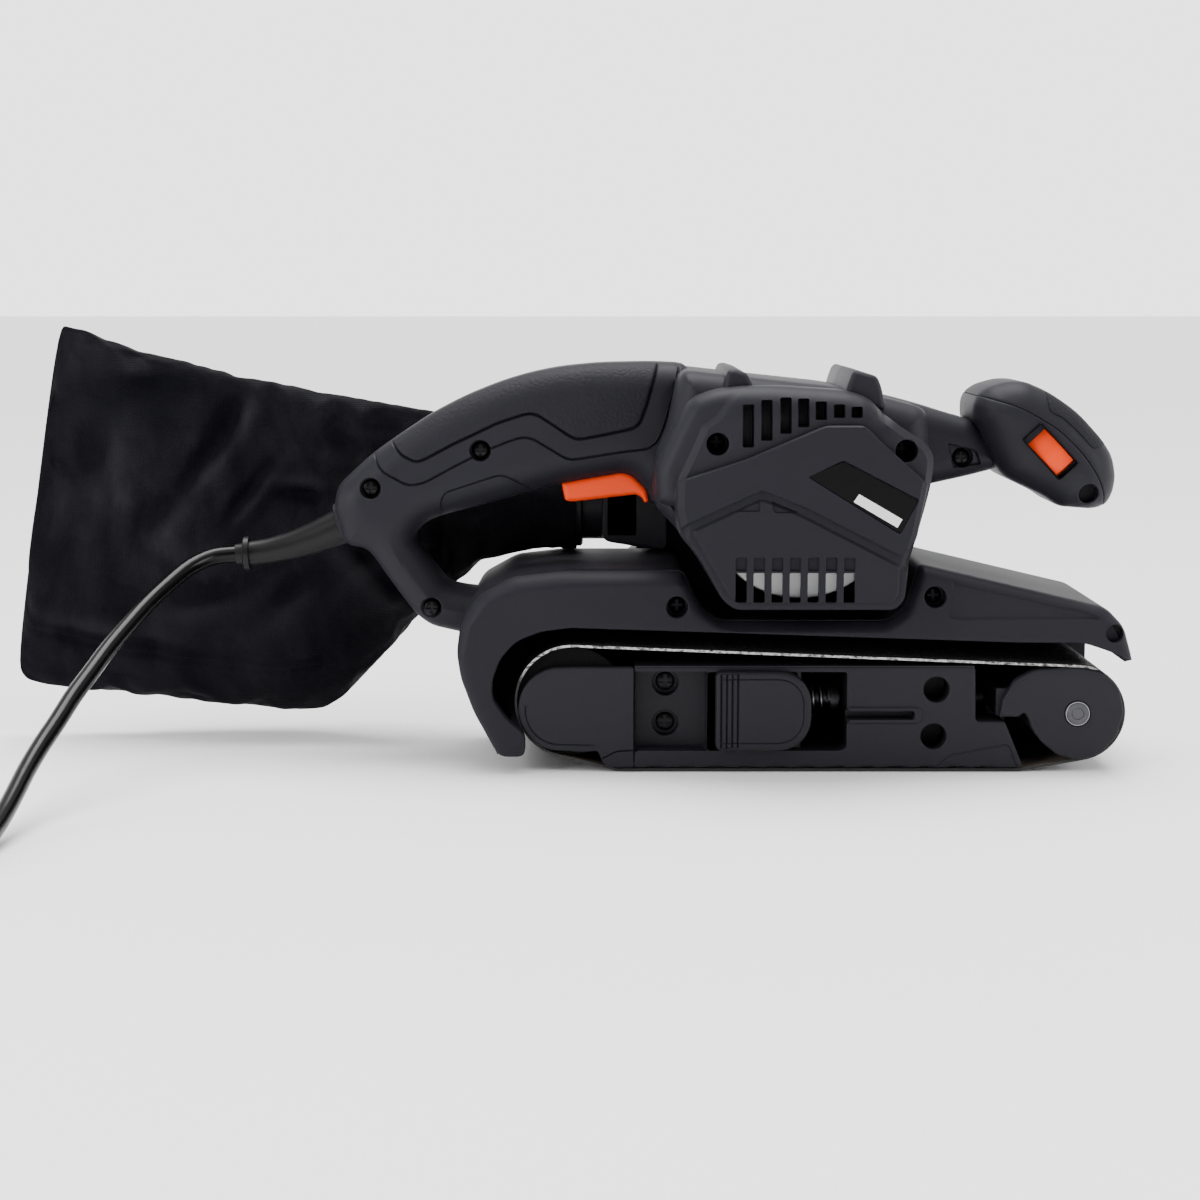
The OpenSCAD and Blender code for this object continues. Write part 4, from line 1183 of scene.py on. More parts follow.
def build_frame_face():
    line = rounded(FRAME_FACE, 1.5)
    face = Face(39.3).rim(line, 0.6, 0.6)
    face.sink(box(*FRAME_RECESS), 9, 0.4)
    face.raised(rounded([(9.6, 19.4), (40.4, 19.4), (42, 22.8), (40.4, 26.2), (9.6, 26.2)], 2), 0.7, 0.7)
    face.sink(rounded(box(*FRAME_SLOT), 1.4), 7, 0.4)
    face.groove(rounded(FRAME_FOOT, 1, False), 0.9, 0.5)
    for spots, floor in ((FRAME_HOLES, 24), (FRAME_SCREWS, 26)):
        for spot in spots:
            face.hole(spot, 5.2, floor)
    for i in range(12):
        x = -68 + 12 * i
        face.sink(rounded([(x, 1.2), (x + 7, 1.2), (x + 6, 2.9), (x + 1, 2.9)], 0.5), 1.2, 0.4)
    plate = moulded("frame_face", face, line, -22, NEAR, 4.0, [rounded(FRAME_WINDOW, 1.2)])
    dressed(plate, "frame_metal")
    cap_line = rounded(
        [(-73.2, 42.2), (-97.6, 42.2)]
        + arc((-102.2, 25.2), 17.2, np.radians(np.arange(100, 264, 12)), 17.0)
        + [(-94, 7.8), (-87.6, 8.2), (-85.6, 3.4), (-83.5, 1.6), (-73.2, 1.6)], 1.2
    )
    face = Face(39.6).rim(cap_line, 0.9, 0.9)
    inner = [(-90, 10.6)] + arc((-102.4, 24.4), 14, np.radians(np.arange(262, 170, -10)), 13.6)
    face.groove(np.array(inner), 0.8, 0.4)
    face.groove(np.array([(-85.5, 5.4), (-80, 8.2), (-73.4, 8.6)]), 0.8, 0.6)
    cap = moulded("drive_roller_end_cap", face, cap_line, -36.6, NEAR, 3.4)
    dressed(cap, "frame_metal", stands_for=("drive_roller_cap",))


def build_tension_parts():
    line = rounded(LEVER, 3)
    face = Face(43.4).rim(line, 1.4, 1.6)
    for i in range(4):
        face.groove(np.array([(-38.6 + 2.2 * i, 10.4), (-38.6 + 2.2 * i, 39.6)]), 1.0, 0.7)
    face.groove(offset(line, 3.2)[2:-1], 0.7, 0.35)
    lever = moulded("belt_release_lever", face, line, -37.6, NEAR, 3.0)
    cam = prism("lever_cam", rounded(box(-20, -3, 15, 31), 2), -37.7, -20, 1.5, 3)
    smooth(dressed(joined("belt_release_lever", [lever, cam]), "frame_metal", "lever", ("tension_lever",)))
    line = rounded(YOKE_HOOK, 2)
    face = Face(39.5).rim(line, 0.9, 0.9)
    face.hole(IDLER, 5.1, 38.6)
    yoke = moulded("front_roller_yoke", face, line, -36.2, NEAR, 3.2)
    dressed(yoke, "frame_metal", "yoke")
    end = turned(
        "idler_axle_end", [(0, 4.7), (1.6, 4.7), (2.2, 4.1), (2.2, 2.4), (1.9, 2.2)], (IDLER[0], -38.2, IDLER[1]),
        (0, -1, 0), 40,
    )
    dressed(end, "worn_steel", "yoke")
    wire = []
    turns, low, high = 6.5, -13.6, 7.6
    for i in range(int(turns * 20) + 1):
        t = i / (turns * 20)
        a = 2 * math.pi * turns * t
        wire.append((low + (high - low) * t, 7 * math.cos(a), 23.5 + 7 * math.sin(a)))
    coil = tube("tension_spring_wire", wire, [0.85] * len(wire), 10)
    dressed(coil, "steel", stands_for=("tension_spring",))


def knob_part(name, line, side, look, edge=0.7, rise=0.0):
    whole = rounded(KNOB, 5)
    face = Face(30 + rise).rim(whole, 15, 14)
    face.rim(line, edge, edge)
    if "shell" in name:
        face.hole((107.8, 110.2), 4.0, 19)
        if side == NEAR:
            face.sink(rocker_frame(11.2, 5.2), 3, 0.4)
    return dressed(moulded(name, face, line, side * 0.05, side, 2.4), look)


def rocker_frame(long_half, short_half):
    c, s = math.cos(ROCKER_SLOPE), math.sin(ROCKER_SLOPE)
    along_it, across = np.array([c, -s]) * long_half, np.array([s, c]) * short_half
    corners = ((1, 1), (-1, 1), (-1, -1), (1, -1))
    return rounded([np.array(ROCKER_CENTRE) + along_it * i + across * j for i, j in corners], 0.8, steps=2)


def split_by(outline, seam):
    """A closed line cut in two by an open one: the part above it, then the part below."""
    aside, reach = 60, 400

    def half(upper):
        (x0, z0), (x1, z1) = seam[0], seam[-1]
        if upper:
            far = [(x1 + aside, z1), (x1 + aside, reach), (x0 - aside, reach), (x0 - aside, z0)]
            return np.concatenate([seam, far])
        far = [(x0 - aside, z0), (x0 - aside, -reach), (x1 + aside, -reach), (x1 + aside, z1)]
        return np.concatenate([seam[::-1], far])

    dense = spaced(outline, 0.5)
    parts = []
    for upper in (True, False):
        region = half(upper)
        keep = inside(dense, region)
        start = next(i for i in range(len(dense)) if keep[i] and not keep[i - 1])
        order = [(start + i) % len(dense) for i in range(len(dense))]
        run = [dense[i] for i in order if keep[i]]
        seam_dense = spaced(seam, 1.2, False)
        middle = seam_dense[inside(seam_dense, offset(outline, 0.4))]
        if np.linalg.norm(middle[0] - run[-1]) > np.linalg.norm(middle[-1] - run[-1]):
            middle = middle[::-1]
        parts.append(thinned(np.array(run + list(middle))))
    return parts


def thinned(line, gap=0.45):
    keep = [line[0]]
    for p in line[1:]:
        if np.linalg.norm(p - keep[-1]) > gap:
            keep.append(p)
    if np.linalg.norm(keep[0] - keep[-1]) < gap:
        keep.pop()
    return np.array(keep)


def build_front_knob():
    whole = rounded(KNOB, 5)
    cap, shell = split_by(whole, rounded(KNOB_SEAM, 4, False))
    pad = clipped(rounded(KNOB_PAD, 1.5), whole)
    for side, word in SIDES:
        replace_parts(knob_part(f"knob_shell_{word}_skin", shell, side, "housing"), f"knob_shell_{word}")
        top = knob_part(f"knob_cap_{word}", cap, side, "soft_cap", 0.9)
        insert = knob_part(f"knob_pad_{word}", pad, side, "pad_rubber", 0.5, 0.5)
        if side == NEAR:
            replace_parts(top, "knob_cap")
            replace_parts(insert, "knob_grip_pad")


def build_switches():
    outer = rocker_frame(11.2, 5.2)
    face = Face(31).rim(outer, 0.5, 0.5)
    bezel = moulded("rocker_bezel_frame", face, outer, -26, NEAR, 2.0, [rocker_frame(10.8, 4.8)], 1.2)
    dressed(bezel, "gloss_black", stands_for=("rocker_bezel",))
    well = prism("rocker_well", rocker_frame(10.9, 4.9), -26.4, -21, 0)
    dressed(well, "gloss_black")
    profile = [
        (-10.4, -3.6), (-4.6, -4.3), (1.2, -3.9), (5.6, -4.3), (10.4, -3.9), (9, 0.6), (3, 2.6), (-3, 2.6),
        (-9, 0.6),
    ]
    paddle = prism("rocker_switch_paddle", profile, -4.55, 4.55, 0.3, 3)
    mark = prism("rocker_on_bar", box(3.4, 4.1, -4.3, -3.8), -1.3, 1.3)
    lean = math.radians(8)
    turn = (
        Matrix.Translation((0.0918, -0.027, 0.1272))
        @ Matrix.Rotation(ROCKER_SLOPE, 4, "Y")
        @ Matrix.Rotation(-lean, 4, "Z")
        @ Matrix.Rotation(math.radians(-90), 4, "X")
        @ Matrix.Scale(-1, 4, (0, 0, 1))
    )
    for piece in (paddle, mark):
        piece.data.transform(turn)
        with edited(piece.data, outwards=True):
            pass
    dressed(mark, "gloss_black", "rocker")
    dressed(paddle, "orange", "rocker", ("rocker_paddle",))
    line = rounded(
        [(-102.4, 113), (-100.9, 105.7), (-98, 105.2), (-72, 108.2), (-69.6, 107), (-68.6, 104.8), (-66.9, 105.1),
         (-67.8, 110.4), (-73.4, 116), (-78, 117.6)], 1.4
    )
    for side, word in SIDES:
        face = Face(9.2).rim(line, 2.2, 2.0)
        dressed(moulded(f"trigger_{word}", face, line, side * 0.02, side, 2.6), "orange", "trigger")
    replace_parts(bpy.data.objects["trigger_left"], "trigger")


def build_far_side():
    def capsule(r1, r2):
        gap = math.dist(DRUM, MOTOR)
        base = math.atan2(MOTOR[1] - DRUM[1], MOTOR[0] - DRUM[0])
        up = base + math.acos((r1 - r2) / gap)
        down = base - math.acos((r1 - r2) / gap)
        return np.array(
            arc(DRUM, r1, np.linspace(up, 2 * math.pi + down, 30)) + arc(MOTOR, r2, np.linspace(down, up, 24))
        )

    line = capsule(26.5, 15.5)
    face = Face(66).rim(line, 3, 3)
    face.raised(capsule(19, 9), 0.8, 1.0)
    for i in range(5):
        face.groove(np.array([(-70 + 9 * i, 40 + 8.1 * i), (-82 + 9 * i, 53.2 + 8.1 * i)]), 1.6, 0.9)
    cover = moulded("drive_belt_cover", face, line, 44, FAR, 4.0)
    ears = [
        turned(f"cover_ear_{i}", [(0, 5), (5.4, 5), (6, 4.4)], (x, 44, z), (0, 1, 0), 32)
        for i, (x, z) in enumerate(COVER_SCREWS)
    ]
    cover = joined("drive_belt_cover", [cover] + ears)
    smooth(cover)
    dressed(cover, "shell", stands_for=("drive_cover",))
    case = rounded(
        [(-82, 1.2), (-118, 1.2), (-127, 3), (-136.4, 24), (-141.5, 38), (-143, 48), (-141.4, 60),
         (-135.4, 70.6), (-121.6, 78.2), (-103, 80.4), (-61, 80.4), (-61, 99), (-63, 118), (-52, 140),
         (-30, 150), (12, 150), (30, 138), (38, 117), (35, 83), (109, 66.5), (117, 59), (122, 46), (122, 24),
         (114, 7), (106, 1.2), (82, 1.2)], 1
    )
    face = Face(44).rim(case, 1.6, 1.6)
    for i in range(3):
        x, top = -20 + 26 * i, 41 - 3 * i
        face.sink(rounded([(x, 12), (x + 20, 12), (x + 20, top - 1), (x, top)], 3), 1.2, 0.8)
    wall = moulded("drive_side_case", face, case, 40.05, FAR, 5.0)
    dressed(wall, "shell", stands_for=("drive_case",))
    x0, z0 = TRACKING_AXIS
    rings = [(0, 8.2), (0.6, 9), (7.6, 9), (9.2, 8.2), (9.6, 6.8), (9.0, 5.6)]
    grip = turned("tracking_adjuster", rings, (x0, 44.5, z0), (0, 1, 0), 48)
    flutes, rim_radius, rim_end = 16, 0.0088, 0.0525
    for v in grip.data.vertices:
        x, z = v.co.x - x0 * MM, v.co.z - z0 * MM
        if math.hypot(x, z) > rim_radius and v.co.y < rim_end:
            k = 0.92 + 0.08 * (0.5 + 0.5 * math.cos(flutes * math.atan2(z, x)))
            v.co.x, v.co.z = x0 * MM + x * k, z0 * MM + z * k
    dressed(grip, "shell", "tracking", ("tracking_knob",))


def build_dust_port():
    bend = rounded([(-86, 86), (-58, 81.5), (-58, 113), (-63, 118.5), (-86, 118.5)], 4)
    elbow = prism("dust_elbow", bend, 21.2, 39.8, 1.5)
    square = rounded(box(-86, -69, 86, 118.5), 4)
    block = prism("dust_elbow_block", square, 21.2, 55, 2.5, 4)
    dressed(joined("dust_elbow", [elbow, block]), "duct", stands_for=("dust_duct",))
    port = turned(
        "dust_outlet_pipe", [(0, 14.2), (24, 14.2), (24, 15.2), (23.4, 16), (21, 16), (20.4, 15.6), (-4, 15.6)],
        (-86, *DUST_PORT), (-1, 0, 0), 64,
    )
    dressed(port, "duct", stands_for=("dust_port",))
    collar = turned(
        "bag_collar_ring",
        [(0, 16.2), (0, 17.6), (0.8, 18.6), (3, 18.6), (3.4, 18), (11, 18), (11.4, 18.6), (14, 18.6), (14.5, 17.4),
         (14.5, 16.2), (0.4, 16.15)],
        (-94, *DUST_PORT), (-1, 0, 0), 64,
    )
    dressed(collar, "duct", "bag", ("bag_collar",))


def along(line, share):
    pts = np.array(line, float)
    steps = np.concatenate([[0], np.cumsum(np.linalg.norm(np.diff(pts, axis=0), axis=1))])
    want = share * steps[-1]
    return np.array([np.interp(want, steps, pts[:, 0]), np.interp(want, steps, pts[:, 1])])


def bag_rings(lengths, around):
    """The empty bag's rings, from its free end to its mouth, in metres."""
    rings = []
    for i in range(lengths + 1):
        u = i / lengths
        low, high = along(BAG_LOW, u), along(BAG_HIGH, u)
        mouth = max(0.0, (u - 0.74) / 0.26)
        middle_y = 45 - 7 * min(1, mouth * 1.3)
        puff = max(17.5 * (1 - math.exp(-u / 0.09)) * (1 - mouth) + 20 * mouth, 0.9)
        ring = []
        for k in range(around):
            a = 2 * math.pi * k / around
            t = (1 - math.cos(a)) / 2
            x, z = low * (1 - t) + high * t
            flat = math.copysign(abs(math.sin(a)) ** (0.62 + 0.38 * mouth), math.sin(a))
            ring.append((x * MM, (middle_y - puff * flat) * MM, z * MM))
        rings.append(ring)
    return rings


def filled(bag, lengths, around):
    """Cloth simulation: the bag is sewn at its edges and mouth, and a little air fills it."""
    rest = np.array([v.co for v in bag.data.vertices])
    pinned = bag.vertex_groups.new(name="sewn")
    for v in range(len(rest)):
        ring, spot = divmod(v, around)
        at_mouth = ring >= lengths - 3
        at_edge = spot in (0, around // 2) and ring % 2 == 0
        at_end = ring == 0 and spot % 9 == 0
        if at_mouth or at_edge or at_end:
            pinned.add([v], 1.0, "REPLACE")
    cloth = bag.modifiers.new("cloth", "CLOTH")
    for name, value in (
        ("quality", 6), ("mass", 0.12), ("tension_stiffness", 12), ("compression_stiffness", 12),
        ("shear_stiffness", 4), ("bending_stiffness", 0.12), ("vertex_group_mass", "sewn"),
        ("shrink_min", -0.035), ("use_pressure", True),
        ("uniform_pressure_force", bpy.context.scene.sander_looks.bag_pressure),
    ):
        setattr(cloth.settings, name, value)
    cloth.settings.effector_weights.gravity = 0.15
    cloth.collision_settings.use_collision = False
    scene = bpy.context.scene
    for step in range(1, CLOTH_STEPS + 1):
        scene.frame_set(step)
    graph = bpy.context.evaluated_depsgraph_get()
    move = np.array([v.co for v in bag.evaluated_get(graph).data.vertices]) - rest
    bag.modifiers.remove(cloth)
    bag.vertex_groups.clear()
    scene.frame_set(1)
    size = np.linalg.norm(move, axis=1, keepdims=True)
    done = rest + move * np.minimum(1, MOST_MOVE / np.maximum(size, 1e-9))
    done[:, 2] = np.maximum(done[:, 2], 0.004)
    bag.data.vertices.foreach_set("co", done.astype(np.float32).ravel())


def build_dust_bag():
    lengths, around = 56, 72
    bag = lofted("cloth_dust_bag", bag_rings(lengths, around))
    filled(bag, lengths, around)
    modified(bag, "SUBSURF", levels=2, render_levels=2)
    creases(bag)
    smooth(bag, 80)
    rings = [
        (-12, 19.3), (-8, 19.8), (-3, 19.6), (0.5, 19.2), (3, 19.5), (6.4, 19.3), (7.5, 19.9), (12.6, 19.9),
        (13.4, 19.5), (13.4, 18.7), (0, 18.7),
    ]
    sleeve = turned("bag_sleeve", rings, (-110, *DUST_PORT), (1, 0, 0), 72)
    hem_start, skin_radius = -0.1037, 0.0188
    y0, z0 = (c * MM for c in DUST_PORT)
    for v in sleeve.data.vertices:
        y, z = v.co.y - y0, v.co.z - z0
        if v.co.x < hem_start and math.hypot(z, y) > skin_radius:
            a = math.atan2(z, y)
            k = 1 + 0.022 * math.sin(11 * a) * math.sin(5 * a + 1)
            v.co.y, v.co.z = y0 + y * k, z0 + z * k
    dressed(joined("cloth_dust_bag", [bag, sleeve]), "bag_fabric", "bag", ("dust_bag",))


# Creases of the bag: both ends as [x, z], width and depth. Valleys also paint shade into the cloth's colour, with a
# painted highlight on their lips.
VALLEYS = [
    ((-238.8, 145.3), (-247, 128), 5, 3.4), ((-246, 130), (-264.4, 105.8), 5, 3.6),
    ((-264, 106), (-281, 88), 6, 2.4), ((-226, 117.5), (-244.9, 93.5), 3.6, 3.2),
    ((-224.5, 105.8), (-200, 104), 3.4, 2.8), ((-296, 137), (-305, 112), 7, 2.0),
    ((-206, 72), (-226, 58), 5, 2.0), ((-166, 60), (-196, 88), 5, 2.4), ((-178, 112), (-150, 103), 3.5, 2.4),
    ((-184, 92), (-150, 90), 3.5, 2.4), ((-290, 152), (-258, 150), 6, 1.8), ((-322, 44), (-262, 38), 4, 1.4),
    ((-238, 66), (-268, 60), 5, 1.8),
]
FOLDS = [
    ((-205, 60), (-170, 92), 5, 2.2), ((-232, 40), (-186, 54), 6, 1.7), ((-318, 60), (-250, 46), 7, 1.6),
    ((-180, 120), (-150, 108), 4, 1.8), ((-190, 100), (-150, 96), 4, 2.0), ((-185, 80), (-152, 88), 4, 2.0),
    ((-306, 150), (-276, 132), 6, 1.8), ((-214, 128), (-180, 120), 5, 1.8), ((-300, 96), (-322, 74), 6, 1.5),
    ((-330, 120), (-300, 112), 5, 1.4), ((-214, 78), (-246, 64), 5, 1.6), ((-286, 86), (-262, 74), 4, 1.4),
]


def creases(bag):
    """Long soft folds, fine crumpling and the stitched hem, on both flat sides of the bag."""
    co = np.array([v.co for v in bag.data.vertices]) * 1000
    x, z = co[:, 0], co[:, 2]

    def about(start, end):
        """How far along the crease each point is, how far away, and on which side."""
        a, d = np.array(start), np.subtract(end, start)
        t = np.clip(((x - a[0]) * d[0] + (z - a[1]) * d[1]) / (d @ d), 0, 1)
        gap = np.hypot(x - a[0] - t * d[0], z - a[1] - t * d[1])
        return t, gap, ((x - a[0]) * d[1] - (z - a[1]) * d[0]) / np.linalg.norm(d)

    def bell(gap, wide):
        return np.exp(-((gap / wide) ** 2))

    move, shade = np.zeros(len(co)), np.zeros(len(co))
    for start, end, wide, deep in FOLDS:
        t, gap, side = about(start, end)
        move += deep * bell(gap, wide) * np.sin(math.pi * (0.12 + 0.76 * t))
        move -= 0.8 * deep * bell(gap - wide * 1.2, wide) * (side > 0) * np.sin(math.pi * t)
    for start, end, wide, deep in VALLEYS:
        t, gap, side = about(start, end)
        ease = np.sin(math.pi * (0.1 + 0.8 * t))
        lip = bell(side + wide * 1.25, wide) * (gap < wide * 4) * ease
        move += deep * (ease * bell(gap, wide) - 0.75 * lip)
        # Painted shade in each valley and a painted highlight on its lip
        shade += 0.9 * lip - 1.3 * ease * bell(gap, wide)
    for i, (px, pz) in enumerate(zip(x, z)):
        swirl = noise.noise((px * 0.013, 5.0, pz * 0.013))
        along_fold = (px * 0.42 - pz * 0.9) * 0.016
        across = (px * 0.9 + pz * 0.42) * 0.036 + swirl * 1.6
        crumple = noise.ridged_multi_fractal((across, 2.0, along_fold), 0.9, 2.1, 3, 1.0, 1.6)
        fine = noise.noise((px * 0.09 + swirl, 9.0, pz * 0.07))
        move[i] += 1.1 * (crumple - 1.1) + 0.6 * fine
        # Painted shade in the crumple hollows
        shade[i] += 0.25 * fine - 0.35 * (crumple - 1.1)
    hem = distance(co[:, [0, 2]], HEM, False)
    move += 0.7 * bell(hem - 1.8, 1.2) - 0.9 * bell(hem, 1.1)
    edge = distance(co[:, [0, 2]], BAG_LOW + BAG_HIGH[::-1])
    fade = np.clip((-120 - x) / 16, 0, 1) * np.clip(edge / 9, 0, 1)
    move = np.clip(move, -3.6, 4.4)
    # The painted shade and highlight are kept as a point attribute for the cloth's colour
    fold = bag.data.attributes.new("fold", "FLOAT", "POINT")
    fold.data.foreach_set("value", np.clip(shade * fade, -1, 1).astype(np.float32))
    co[:, 1] += np.where(co[:, 1] < 44, move, -move) * fade
    bag.data.vertices.foreach_set("co", (co / 1000).astype(np.float32).ravel())


def cord_points():
    """The cord's whole line: down from its boot, along the floor, twice round the coil and into the plug."""
    def catmull(points, per=5):
        pts = [np.array(p, float) for p in points]
        pts = [2 * pts[0] - pts[1]] + pts + [2 * pts[-1] - pts[-2]]
        line = []
        for i in range(1, len(pts) - 2):
            p0, p1, p2, p3 = pts[i - 1 : i + 3]
            for k in range(per):
                t = k / per
                line.append(0.5 * ((2 * p1) + (p2 - p0) * t + (2 * p0 - 5 * p1 + 4 * p2 - p3) * t**2
                                   + (3 * p1 - p0 - 3 * p2 + p3) * t**3))
        line.append(pts[-2])
        return line

    radius = bpy.context.scene.sander_sizes.cord_diameter * 1000 / 2
    width = 2 * radius
    centre = np.array(COIL_CENTRE, float)

    def whole(outer_turns):
        route = catmull(CORD_ROUTE, 3)
        coil = []
        steps = 40
        inner = COIL_START - width * INNER_TURNS
        for i in range(2, int(INNER_TURNS * steps) + 1):
            t = i / steps
            coil.append((-2 * math.pi * t, COIL_START - width * t, radius))
        rise = 16
        total = int(outer_turns * steps)
        for i in range(1, total + 1):
            t = i / steps
            lift = min(1, i / rise)
            lift = lift * lift * (3 - 2 * lift)
            out = inner + width * max(0, t - rise / steps / 2)
            coil.append((-2 * math.pi * (INNER_TURNS + t), out, radius + width * lift))
        line = route + [
            np.array([centre[0] + r * math.cos(a), centre[1] + r * math.sin(a), z]) for a, r, z in coil
        ]
        a, r, z = coil[-1]
        end = line[-1]
        heading = np.array([math.sin(a), -math.cos(a), 0])
        plug = np.array(PLUG_ENTRY, float)
        reach = np.linalg.norm(plug - end) * 0.45
        for k in range(1, 13):
            t = k / 12
            c1, c2 = end + heading * reach, plug - np.array([0, reach, 0])
            line.append(
                (1 - t) ** 3 * end + 3 * (1 - t) ** 2 * t * c1 + 3 * (1 - t) * t * t * c2 + t**3 * plug
            )
        return np.array(line)

    def length(line):
        return np.linalg.norm(np.diff(line, axis=0), axis=1).sum()

    tries = (whole(n) for n in np.arange(2.0, 2.8, 0.025))
    best = min(tries, key=lambda line: abs(length(line) - CORD_LENGTH))
    return best, length(best)


def build_cord():
    sizes = bpy.context.scene.sander_sizes
    line, measured = cord_points()
    curve = bpy.data.curves.new("mains_cord", "CURVE")
    curve.dimensions = "3D"
    spline = curve.splines.new("POLY")
    spline.points.add(len(line) - 1)
    for point, spot in zip(spline.points, line):
        point.co = (*(spot * MM), 1)
    curve.bevel_depth = sizes.cord_diameter / 2
    curve.bevel_resolution = 5
    curve.use_fill_caps = True
    cord = link("mains_cord", curve)
    cord.data.materials.append(FINISHES["cord"])
    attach(cord, "sander")
    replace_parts(cord, "power_cord", "cord_coil")
    x = PLUG_ENTRY[0]
    ribs = [(-1, 3.7), (0, 4.2)]
    for i in range(1, 9):
        high = 4.3 + 0.08 * i
        ribs += [(1.6 * i + d, r) for d, r in ((0, high), (0.9, high), (1.0, 3.8), (1.5, 3.8))]
    boot = turned("plug_boot", ribs, PLUG_ENTRY, (0, 1, 0), 32)
    body = [
        (x - 8, 0.1), (x + 8, 0.1), (x + 12.8, 4), (x + 12.8, 12), (x + 8, 15.9), (x - 8, 15.9), (x - 12.8, 12),
        (x - 12.8, 4),
    ]
    shell = prism("plug_shell", rounded(body, 3), -165, -132, 2.2, 4)
    plug = dressed(joined("mains_plug_body", [shell, boot]), "cord", stands_for=("power_plug",))
    blades = [
        prism(f"blade_{s}", rounded(box(x + s - 0.75, x + s + 0.75, 4.8, 11.2), 0.3), -133, -114, 0.25, 2)
        for s in (-6.35, 6.35)
    ]
    pins = dressed(joined("mains_plug_blades", blades), "steel")
    y0, y1 = COIL_CENTRE[1] + 27.2, COIL_CENTRE[1] + 56.2
    band = [
        prism("tie_part", box(COIL_CENTRE[0] - 4, COIL_CENTRE[0] + 4, low, 15.5), start, end, 0.35, 2)
        for low, start, end in ((14.4, y0, y1), (0.1, y0, y0 + 1.1), (0.1, y1 - 1.1, y1))
    ]
    tie = dressed(joined("coil_tie_band", band), "soft_grip", stands_for=("cord_tie",))
    tuple(line[0] * MM)
    stations = [  # x, z and radius
        (-186, 97.4, 7.6), (-194.8, 93.6, 7.2), (-203, 90.1, 6.5), (-212.9, 86.6, 5.8), (-222.7, 84.3, 5.2),
        (-229.4, 83.4, 5.0), (-230.4, 83.3, 5.0), (-230.6, 83.3, 7.0), (-232.6, 83.2, 7.0), (-233, 83.2, 6.2),
        (-233.2, 83.2, 4.4), (-236.2, 82.9, 4.2),
    ]
    boot = tube("cord_boot", [(x, 0, z) for x, z, _ in stations], [r for *_, r in stations], 40)
    steps = [(0, 8.2), (5.4, 9.2), (6, 9.2), (6.4, 8.6), (9.6, 8.2), (10, 7.4)]
    neck = turned("gland_neck", steps, (-184.5, 0, 98.4), (-0.956, 0, -0.292), 48)
    dressed(boot, "boot", stands_for=("strain_relief",))
    dressed(neck, "housing")


def screw_head(x, z, head_y, radius):
    """A domed head with a cross recess, its face towards -Y."""
    rings = [(0, radius * 0.92), (0.5, radius), (1.0, radius), (1.9, radius * 0.82), (2.4, radius * 0.45)]
    head = turned("screw", rings, (x, head_y + 2.4, z), (0, -1, 0), 28)
    cutters = []
    for wide, tall in ((1.3, 0.36), (0.36, 1.3)):
        half_w, half_t = radius * wide * 0.5, radius * tall * 0.5
        cutters.append(prism("cross", box(x - half_w, x + half_w, z - half_t, z + half_t), head_y - 1, head_y + 1.5))
    cross = joined("cross", cutters)
    modified(head, "BOOLEAN", operation="DIFFERENCE", object=cross, solver="EXACT", use_self=True)
    bpy.data.objects.remove(cross)
    return head


def build_screws():
    nose_x = 100  # the nose's screw is smaller
    groups = {
        "housing_screws": ("screws", [(*s, -14.4, 3.5) for s in HANDLE_SCREWS] + [(*ARM_SCREW, -16.4, 3.4)]),
        # These screws take the near-black recess finish, painted shade for their deep holes
        "motor_screws": ("recess", [(*s, -46.4, 3.6) for s in MOTOR_SCREWS]),
        "base_screws": ("recess", [(*s, -38, 3.5 if s[0] < nose_x else 3) for s in HOOD_SCREWS]),
        "frame_screws": ("screws", [(*s, -27, 4.2) for s in FRAME_SCREWS]),
    }
    for name, (look, spots) in groups.items():
        group = joined(f"{name}_heads", [screw_head(*s) for s in spots])
        dressed(group, look)
        smooth(group, 30)
        if name in ("housing_screws", "base_screws"):
            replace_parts(group, name)
    rings = [(0, 3.4), (1.6, 3.4), (2.4, 2.2), (2.4, 1.2), (1.6, 0.9)]
    ends = [turned("cover_screw", rings, (x, 50, z), (0, 1, 0), 24) for x, z in COVER_SCREWS]
    dressed(joined("cover_screws_heads", ends), "screws", stands_for=("cover_screws",))


def dress_frame_nodes():
    """Every CAD node that stays in view takes its slot's finish."""
    slots = {s["node"]: s["material_slot"] for s in frame["record"]["subparts"]}
    slots.update(lever_pin="screws", tension_rod="worn_steel", platen_plate="frame_metal")
    for name, node in frame["nodes"].items():
        look = slots[name]
        node.data.materials.clear()
        node.data.materials.append(FINISHES[look])
        smooth(node, 30)


# Add-on
class SanderLooks(bpy.types.PropertyGroup):
    housing_colour: bpy.props.FloatVectorProperty(
        name="Housing", description="Colour of the black mouldings", subtype="COLOR",
        default=(0.0125, 0.0121, 0.0165),
    )
    grip_colour: bpy.props.FloatVectorProperty(
        name="Grip", description="Colour of the soft grips", subtype="COLOR",
        default=(0.0100, 0.0097, 0.0134),
    )
    switch_colour: bpy.props.FloatVectorProperty(
        name="Switches", description="Colour of the trigger and rocker", subtype="COLOR",
        default=(0.82, 0.05, 0.0015),
    )
    bag_pressure: bpy.props.FloatProperty(
        name="Bag fullness", description="Pressure that fills the cloth bag", default=1.2, min=0, max=6
    )


class SanderSizes(bpy.types.PropertyGroup):
    cord_diameter: bpy.props.FloatProperty(
        name="Cord", description="Diameter of the mains cord", default=0.007, unit="LENGTH"
    )
    camera_distance: bpy.props.FloatProperty(
        name="Camera distance", description="From the camera to the middle of the side view", default=0.9405,
        unit="LENGTH",
    )
    camera_rise: bpy.props.FloatProperty(
        name="Camera elevation", description="Angle of the camera above the horizon", default=math.radians(7.5),
        subtype="ANGLE",
    )


